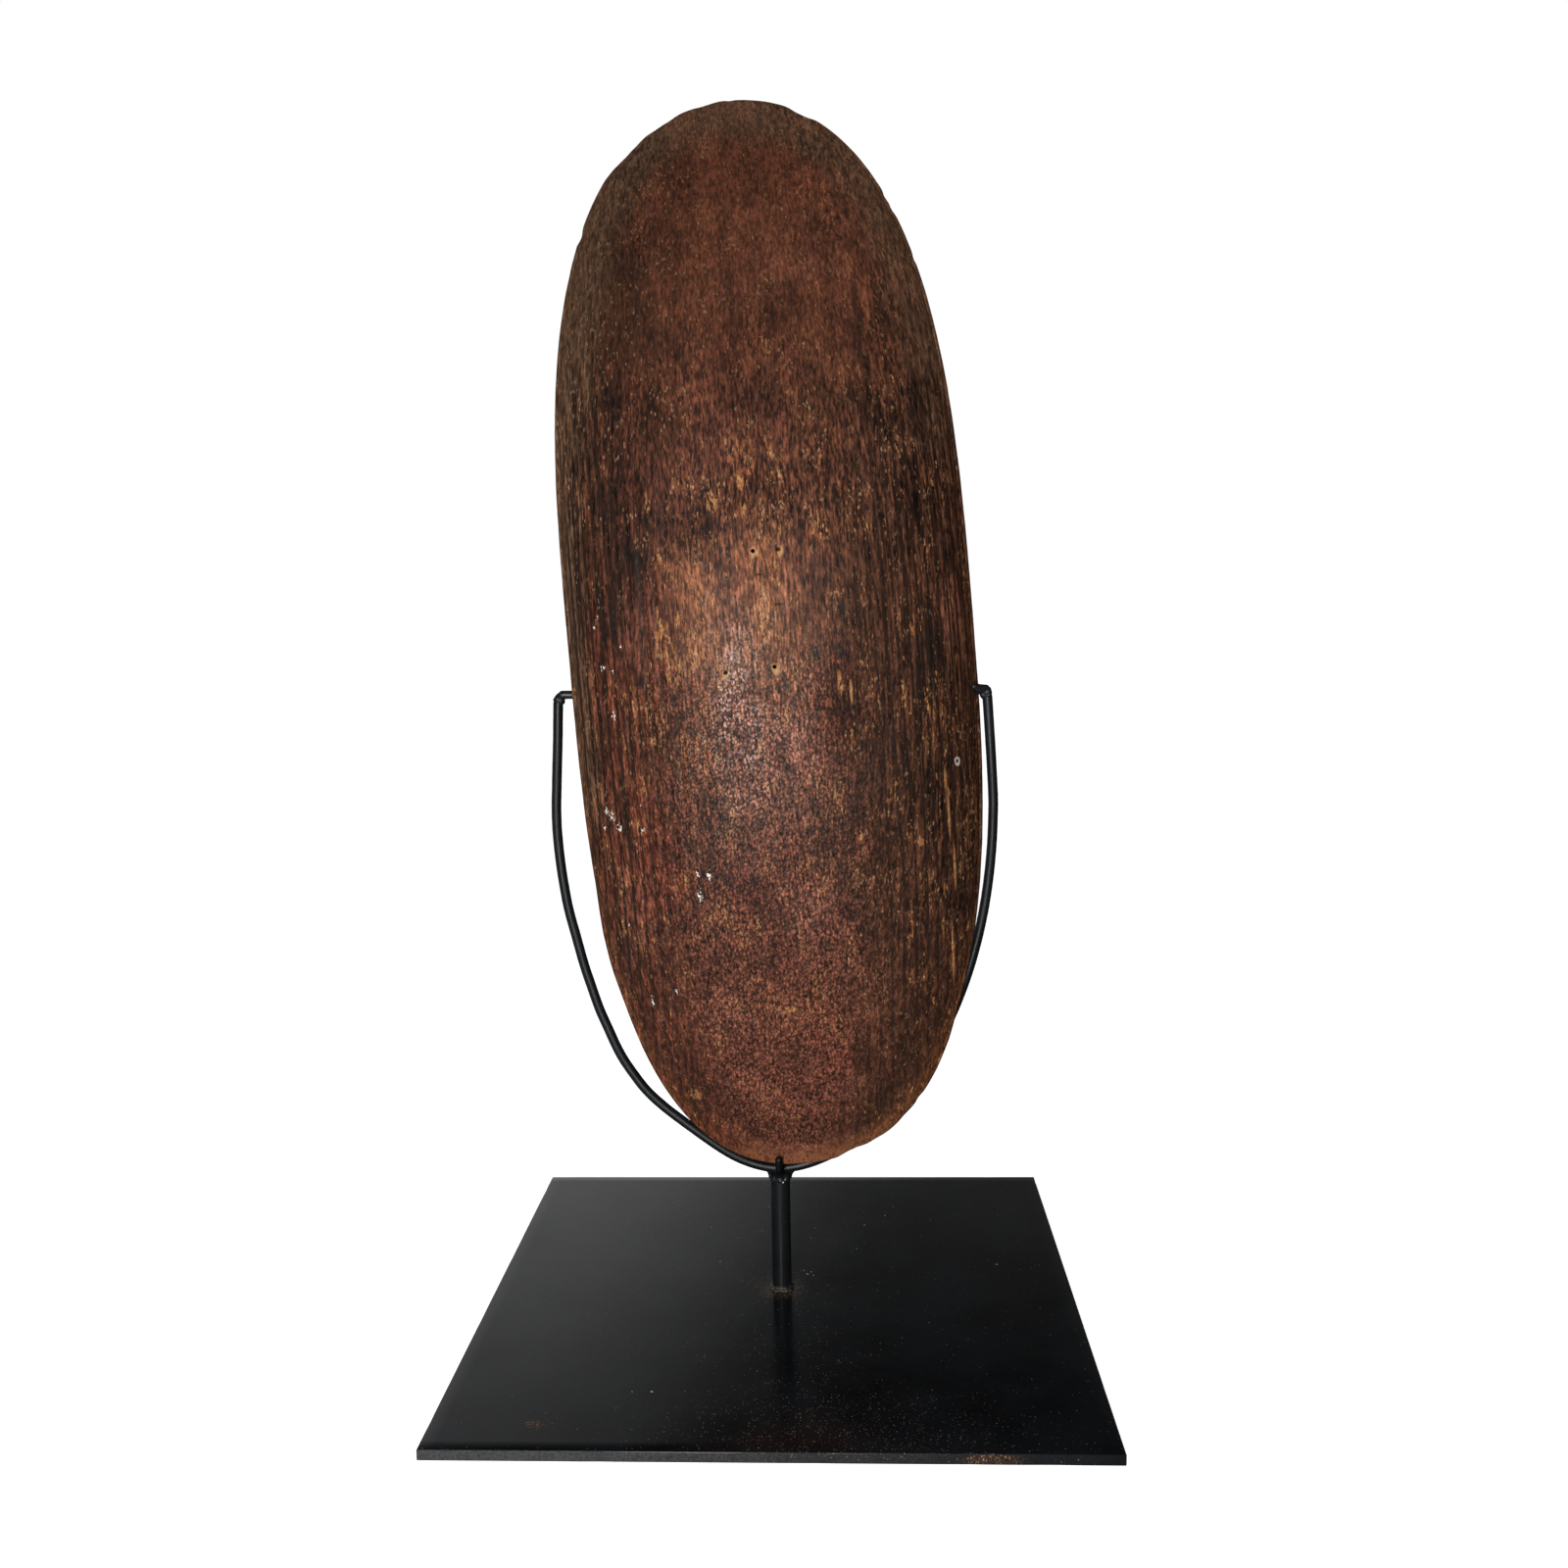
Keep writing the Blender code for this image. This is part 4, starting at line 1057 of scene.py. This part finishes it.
def ochred_wood():
    """Red ochre and fat over flaked old wood: pebbled and glossy in the middle, smoky and dull at the top,
    with painted light along the top rim and a painted sheen on the left edge.
    """
    material, shader, place = new_material("ochred_wood")
    tree = material.node_tree
    place = on_shield(place)
    x, y, z = split(place)
    flat = place_at(tree, x, 0.0, z)
    groove = attribute(tree, "groove")
    from_rim = attribute(tree, "from_rim")
    in_front = attribute(tree, "behind").fall(0.3, 0.7)

    def lines(across, along, detail=4.0):
        return effect(STREAKS, place, across=across, along=along, detail=detail)

    broad = cloud(place, 15.0, 3.0, 0.62) - 0.5
    blotch = cloud(place_at(tree, x, y, z * 0.6), 62.0, 4.0, 0.65)
    patchy = blotch.rise(0.44, 0.62)
    grain = cloud(place, 560.0, 3.0, 0.65)
    tear = 1.3 * (grain - 0.5)
    stroke = lines(430.0, 72.0, 3.0)
    smear = lines(85.0, 14.0, 3.0)
    fleck = lines(580.0, 175.0)
    rows = lines(250.0, 13.0, 2.0)
    thread = lines(700.0, 150.0, 2.0).rise(0.3, 0.7)
    short_fibre = lines(560.0, 110.0).rise(0.34, 0.66)
    long_fibre = lines(430.0, 17.0).rise(0.34, 0.66)

    def marks(places, softness, tear=tear):
        return in_front * strongest([
            effect(PATCH, flat, centre=(px, 0.0, pz), reach=(wide, 1.0, tall), tear=tear, softness=softness)
            for px, pz, wide, tall in places])

    girth = (1 - (abs(z) / (SHIELD_LENGTH / 2)).at_most(1) ** 3) ** 0.45
    side = (x + 0.008) / (SHIELD_WIDTH / 2 * girth.at_least(0.2))
    flank = abs(side).rise(0.35, 0.75)
    top = (z + 0.16 * broad).rise(0.05, 0.2)
    low_end = (-z).rise(0.12, 0.3)
    calm = top.at_least(0.9 * low_end)
    flaked_band = z.rise(0.03, 0.09) * z.fall(0.15, 0.21)
    fibre = short_fibre + (long_fibre - short_fibre) * (0.3 + 0.5 * flank).at_least(0.65 * calm)
    right = (x + 0.1 * broad).rise(0.008, 0.068) * (z + 0.1 * broad).fall(0.1, 0.2)
    upper_left = (-x + 0.1 * broad).rise(0.045, 0.085) * (z + 0.1 * broad).rise(-0.045, 0.02)
    left_edge = (-x + 0.05 * broad).rise(0.08, 0.112)
    lower_left = (-side + 1.2 * broad).rise(0.3, 0.75) * (-z).rise(0.02, 0.24)
    smoked = marks(SMOKED_PLACE, 1.0, 3.0 * broad)
    ruddy = marks(RUDDY_PLACE, 1.0, 2.0 * broad)
    dim = marks(DIM_PLACES, 1.0, 2.0 * broad)
    deep = marks(DEEP_PLACES, 1.0, 1.6 * broad)
    lighter = marks(LIGHTER_PLACES, 1.0, 1.6 * broad)
    warm = abs(x + 0.012 + 0.1 * broad).fall(0.01, 0.075) * abs(z + 0.005 + 0.2 * broad).fall(0.03, 0.14)
    pebbly = (z + 0.12 * broad).fall(-0.07, 0.05) * (1 - 0.8 * flank)

    smoky_edge = left_edge * (0.62 - 0.34 * (-z).rise(0.02, 0.12))
    ruddy_lines = (-side).rise(0.35, 0.7) * rows.rise(0.48, 0.6) * (1 - top)
    # Painted light: a pale grey wash along the top rim, where the dome turns away from the lamp, and a
    # painted sheen along the left edge, where light strikes it at a grazing angle.
    top_rim_painted_light = 0.62 * top * from_rim.fall(0.006, 0.042)
    left_rim_painted_sheen = 0.7 * left_edge * (z + 0.08).rise(-0.05, 0.0) * from_rim.fall(0.003, 0.02)
    colour = coats(
        RED_OCHRE,
        (WARM_BROWN, (warm * 0.6 + 0.45 * blotch.rise(0.48, 0.66)).clamped()),
        (OX_RED, (0.22 - 1.2 * broad).rise(0.2, 0.46) * 0.55),
        (SMOKED_TOP, top * (0.5 + 0.45 * smear.fall(0.44, 0.58))),
        (RUDDY_TOP, ruddy * 0.6),
        (SMOKED_TOP, dim * 0.62),
        (OLIVE_BROWN, right * 0.85),
        (PINK_BROWN, low_end * (1 - flank) * 0.55),
        (PLUM_BROWN, lighter * 0.76),
        (SMOKED_LEFT, (upper_left * 0.92).at_least(smoky_edge)),
        (OLIVE_TAN, marks(OLIVE_STREAKS, 1.0, 2.0 * (smear - 0.5)) * 0.62),
        (DARK_RED, (lower_left * 0.6).at_least(smoked * 0.85)),
        (DARK_UMBER, blotch.fall(0.33, 0.52) * 0.42),
        (DARK_UMBER, smear.fall(0.36, 0.48) * (0.25 + 0.3 * flank)),
        (OX_RED, ruddy_lines * 0.24),
        (PAINTED_SHEEN_GREY, in_front * top_rim_painted_light.at_least(left_rim_painted_sheen)))

    contrast = 1.6 - 0.85 * calm + 0.45 * flank - 0.4 * pebbly + 0.35 * flaked_band
    colour = shaded(colour, 1.06 - 0.36 * deep + contrast * (fibre - 0.5))
    colour = shaded(colour, 1.0 + (1.5 - 0.6 * calm + 0.3 * flaked_band) * (thread - 0.5))
    broken = (0.4 + 1.2 * fleck) * (0.35 + 1.3 * rows)
    furrow = groove.rise(0.7, 0.95) * (0.1 + 0.9 * flank) * (1 - 0.75 * top) * (1 - 0.45 * low_end)
    furrow = furrow * broken.rise(0.45, 0.9)
    dark_rows = rows.fall(0.34, 0.48) * (0.15 + 0.6 * flank)
    colour = mixed(colour, DARK_UMBER, (dark_rows * (0.6 - 0.35 * top) + furrow * 0.92).clamped())
    swayed = 1.2 * (grain - 0.5)
    gap, (lot, _, _) = cells(place_at(tree, x * 640 + swayed, y * 640, z * 500 + swayed))
    colour = shaded(colour, 1.1 + pebbly * (0.2 - 0.9 * gap.rise(0.28, 0.62) - 0.6 * (lot - 0.5)))

    clusters = marks(WORN_CLUSTERS, 0.7)
    ridge = groove.fall(0.08, 0.4) * flank
    density = patchy * (0.15 + 0.45 * rows.rise(0.46, 0.6)) + 0.22 * warm
    density = density + 0.42 * ridge * smear.rise(0.46, 0.6)
    density = (density * (1 - 0.55 * top - 0.45 * upper_left) + 0.5 * clusters).clamped()
    least = 0.665 + 0.03 * top + 0.05 * upper_left - 0.17 * density
    strokes = stroke.rise(0.53, 0.59) * clusters.rise(0.1, 0.45)
    worn = in_front * fleck.rise(least, least + 0.04).at_least(strokes)
    fleck_colour = mixed(WORN_ORANGE, BARE_TAN, grain.rise(0.42, 0.62))
    speckled = in_front * patchy * (1 - 0.5 * calm + 0.5 * flaked_band)
    pits = effect(SPECKS, place, across=820.0, along=450.0, share=0.24, size=0.85)
    crumbs = effect(SPECKS, place, across=950.0, along=400.0, share=0.13, size=0.85)
    hairs = []
    for lean, seed in ((0.35, 3.0), (-0.45, 11.0)):
        across = x * math.cos(lean) - z * math.sin(lean)
        along = x * math.sin(lean) + z * math.cos(lean)
        hair = cloud(place_at(tree, across * 950 + seed, y * 950, along * 120), 1.0, 1.0, 0.5)
        hairs.append(hair.rise(0.7, 0.74))
    colour = coats(
        colour,
        (fleck_colour, worn * (0.52 + 0.38 * density - 0.1 * top)),
        (fleck_colour, marks(BARE_SCRATCHES, 0.5) * 0.75),
        (DARK_UMBER, pits * (0.3 + 0.7 * speckled) * (0.74 - 0.3 * top)),
        (GRAIN_TAN, crumbs * (0.2 + 0.8 * speckled) * 0.52),
        (BARE_TAN, strongest(hairs) * (0.22 + 0.12 * top) * (1 - 0.8 * upper_left) * in_front * patchy))

    foot = abs(x - 0.012 + 0.06 * broad).fall(0.03, 0.075)
    rim_wear = (from_rim + 0.014 * (grain - 0.5)).fall(0.0005, 0.0075)
    rim_wear = rim_wear * (0.15 + 0.35 * low_end + 0.5 * low_end * foot) * fleck.rise(0.42, 0.58)
    low_band = (from_rim + 0.03 * broad).fall(0.004, 0.017) * (-z).rise(0.26, 0.32) * foot
    shadow_band = from_rim.rise(0.01, 0.018) * (from_rim + 0.06 * broad).fall(0.022, 0.04)
    shadow_band = shadow_band * (-z).rise(0.25, 0.31)
    sooty = marks(SOOT_STREAKS, 1.0, 2.4 * (smear - 0.5)) * rows.fall(0.44, 0.58)
    ring = marks(WHITE_RING, 0.5) * (1 - marks(RING_INSIDE, 0.5))
    chalk_zone = marks(CHALK_SPECKS, 0.9, tear * 0.5)
    chalk = cloud(place_at(tree, x * 1000, y * 1000, z * 560), 1.0, 2.0, 0.6)
    chalk = chalk.rise(0.66 - 0.14 * chalk_zone, 0.69 - 0.14 * chalk_zone) * chalk_zone.rise(0.1, 0.3)
    colour = coats(
        colour,
        (WORN_ORANGE, rim_wear * 0.6),
        (WORN_RED, low_band * (0.35 + 0.45 * fleck.rise(0.42, 0.62))),
        (DARK_UMBER, shadow_band * 0.38),
        (HOLE_TAN, marks(HOLE_HALOS, 0.6, 2.0 * (stroke - 0.46)) * 0.85),
        (SOOT, marks(SOOT_STAINS, 0.9) * 0.92),
        (SOOT, sooty * 0.75),
        (SOOT, marks(NICKS_AND_PIT, 0.8, 1.8 * (fleck - 0.5)) * 0.85),
        (CHALK, chalk.at_least(ring * 0.6)))
    feed(tree, colour, shader.inputs["Base Color"])

    beads = (1 - gap).rise(0.42, 0.72) * grain.rise(0.36, 0.52)
    strands = thread.rise(0.45, 0.7) * fleck.rise(0.42, 0.55)
    polished = (strands + pebbly * (beads - strands)) * (0.25 + 0.75 * blotch.rise(0.42, 0.58))
    polished = polished * (1 - 0.8 * top) * (1 - 0.7 * flank) * (1 - 0.8 * deep)
    rough = 0.5 - 0.2 * polished + 0.16 * top + 0.14 * flank + 0.15 * worn + 0.14 * deep
    feed(tree, rough.at_least(0.18).at_most(1), shader.inputs["Roughness"])
    feed(tree, 0.22 * polished, shader.inputs["Coat Weight"])
    shader.inputs["Coat Roughness"].default_value = 0.23
    shader.inputs["Specular IOR Level"].default_value = 0.165
    shader.inputs["Specular Tint"].default_value = HIGHLIGHT_TINT
    height = pebbly * (1 - gap * gap) + (0.5 - 0.3 * calm) * fleck
    height = height + 0.35 * thread + 0.2 * fibre + 0.25 * grain
    raised(shader, height - 1.5 * marks(NICKS_AND_PIT, 0.6, 0.0), PAINT_RELIEF)
    return material


def scraped_wood():
    """The hollow and the grip: wood cut across its soft grain, darker and dull from handling."""
    material, shader, place = new_material("scraped_wood")
    place = on_shield(place)
    fibre = effect(STREAKS, place, across=700.0, along=40.0, detail=4.0)
    bands = effect(STREAKS, place, across=210.0, along=9.0, detail=3.0)
    blotch = cloud(place, 40.0, 4.0, 0.6)
    colour = mixed(SCRAPED_DARK, SCRAPED_PALE, bands.rise(0.38, 0.62))
    colour = shaded(mixed(colour, DARK_UMBER, blotch.fall(0.35, 0.6) * 0.55), 0.55 + 0.9 * fibre)
    feed(place.tree, colour, shader.inputs["Base Color"])
    feed(place.tree, 0.62 + 0.2 * (blotch - 0.5), shader.inputs["Roughness"])
    raised(shader, fibre + 0.5 * bands, SCRAPED_RELIEF)
    return material


front_wood = ochred_wood()
inner_wood = scraped_wood()
blank_sizes = dict(BLANK_SIZES, Wood=front_wood)
shield = grown("carved_shield", shield_tree(blank_sizes), blank_sizes, bpy.data.meshes.new("blank"))
carving = (("finger_hollow", finger_hollow(), "DIFFERENCE"), ("grip_bar", grip_bar(), "UNION"),
           ("lashing_holes", lashing_holes(), "DIFFERENCE"))
for name, work, operation in carving:
    modifier = shield.modifiers.new(name, "BOOLEAN")
    modifier.operation = operation
    modifier.solver = "EXACT"
    modifier.material_mode = "TRANSFER"
    modifier.object = own_mesh(name, work, inner_wood)
cutters = [modifier.object for modifier in shield.modifiers]
settled(shield)
for item in cutters:
    bpy.data.objects.remove(item, do_unlink=True)
work = bmesh.new()
work.from_mesh(shield.data)
bmesh.ops.triangulate(work, faces=[face for face in work.faces if len(face.verts) > 4])
smoothed(shield.data, work, 38)
shield.data.transform(Matrix.Translation(STANCE_PLACE) @ stance)
fitted(shield, "shield")


# Floor, light and camera
# A pale seamless floor, one tall and narrow soft lamp behind the camera and a little to its left, and a soft
# room that is brighter on the left.

FLOOR_SIZE = 60.0
FLOOR_WHITE = (0.86, 0.86, 0.86)
FLOOR_GREY = (0.84, 0.84, 0.84)
FLOOR_GLOW_NEAR = (0.96, 0.96, 0.96)
WHITE = (1.0, 1.0, 1.0)

floor_paper, shader, place = new_material("pale_floor")
across, along, _ = split(place)
far = ((across * across + along * along) ** 0.5).rise(0.2, 0.7)
feed(place.tree, mixed(FLOOR_WHITE, FLOOR_GREY, cloud(place, 3.0)), shader.inputs["Base Color"])
feed(place.tree, mixed(FLOOR_GLOW_NEAR, WHITE, far), shader.inputs["Emission Color"])
shader.inputs["Roughness"].default_value = 0.9
shader.inputs["Emission Strength"].default_value = 1.0
work = bmesh.new()
bmesh.ops.create_grid(work, x_segments=1, y_segments=1, size=FLOOR_SIZE / 2)
floor = own_mesh("floor", work, floor_paper)
floor.visible_diffuse = False
floor.visible_glossy = False

LAMP_PLACE = Vector((-0.14, -1.38, 0.42))
LAMP_TARGET = Vector((0.0, 0.0, 0.42))
LAMP_WIDTH = 0.14
LAMP_HEIGHT = 0.66
LAMP_POWER = 22.5

light = bpy.data.lights.new("key_lamp", "AREA")
light.shape = "RECTANGLE"
light.size = LAMP_WIDTH
light.size_y = LAMP_HEIGHT
light.energy = LAMP_POWER
lamp = in_scene("key_lamp", light)
lamp.location = LAMP_PLACE
lamp.rotation_euler = (LAMP_TARGET - LAMP_PLACE).to_track_quat("-Z", "Y").to_euler()

ROOM_DIM = 0.01
FRONT_GLOW = 0.09
FRONT_LEFT_GLOW = 0.08
LEFT_WALL_GLOW = 0.8
BACK_WALL_GLOW = 0.162

world = bpy.data.worlds.new("studio_room")
bpy.context.scene.world = world
world.use_nodes = True
tree = world.node_tree
tree.nodes.clear()
side, depth, up = split(input_field(tree, "ShaderNodeTexCoord", "Generated"))
front = (-depth).rise(-0.15, 0.55)
left_wall = (-side - 0.35 * (up - 0.38)).rise(-0.03, 0.19) * (-side).fall(0.45, 0.95) * up.fall(0.42, 0.7)
rear = LEFT_WALL_GLOW * left_wall + BACK_WALL_GLOW * up.fall(0.38, 0.5) * side.fall(0.18, 0.45)
brightness = ROOM_DIM + front * (FRONT_GLOW + FRONT_LEFT_GLOW * (-side).rise(-0.5, 0.7)) + (1 - front) * rear
pick = tree.nodes.new("ShaderNodeMixShader")
feed(tree, input_field(tree, "ShaderNodeLightPath", "Is Camera Ray"), pick.inputs[0])
for strength, slot in ((brightness, 1), (1.0, 2)):
    room = tree.nodes.new("ShaderNodeBackground")
    room.inputs["Color"].default_value = (*WHITE, 1.0)
    feed(tree, strength, room.inputs["Strength"])
    tree.links.new(room.outputs[0], pick.inputs[slot])
tree.links.new(pick.outputs[0], tree.nodes.new("ShaderNodeOutputWorld").inputs["Surface"])

CAMERA_PLACE = (0.044, -0.929, 0.458)
CAMERA_PITCH = math.radians(7.05)
CAMERA_YAW = math.radians(-2.31)
CAMERA_ROLL = math.radians(-0.9)
CAMERA_LENS = 33.88
SENSOR_WIDTH = 36.0
NEAREST_SEEN = 0.05

camera_data = bpy.data.cameras.new("camera")
camera_data.sensor_width = SENSOR_WIDTH
camera_data.lens = CAMERA_LENS
camera_data.clip_start = NEAREST_SEEN
camera = in_scene("camera", camera_data)
camera.matrix_world = (Matrix.Translation(CAMERA_PLACE) @ Matrix.Rotation(-CAMERA_YAW, 4, "Z")
                       @ Matrix.Rotation(math.radians(90) - CAMERA_PITCH, 4, "X")
                       @ Matrix.Rotation(CAMERA_ROLL, 4, "Z"))
bpy.context.scene.camera = camera
bpy.context.scene.view_settings.view_transform = "Standard"
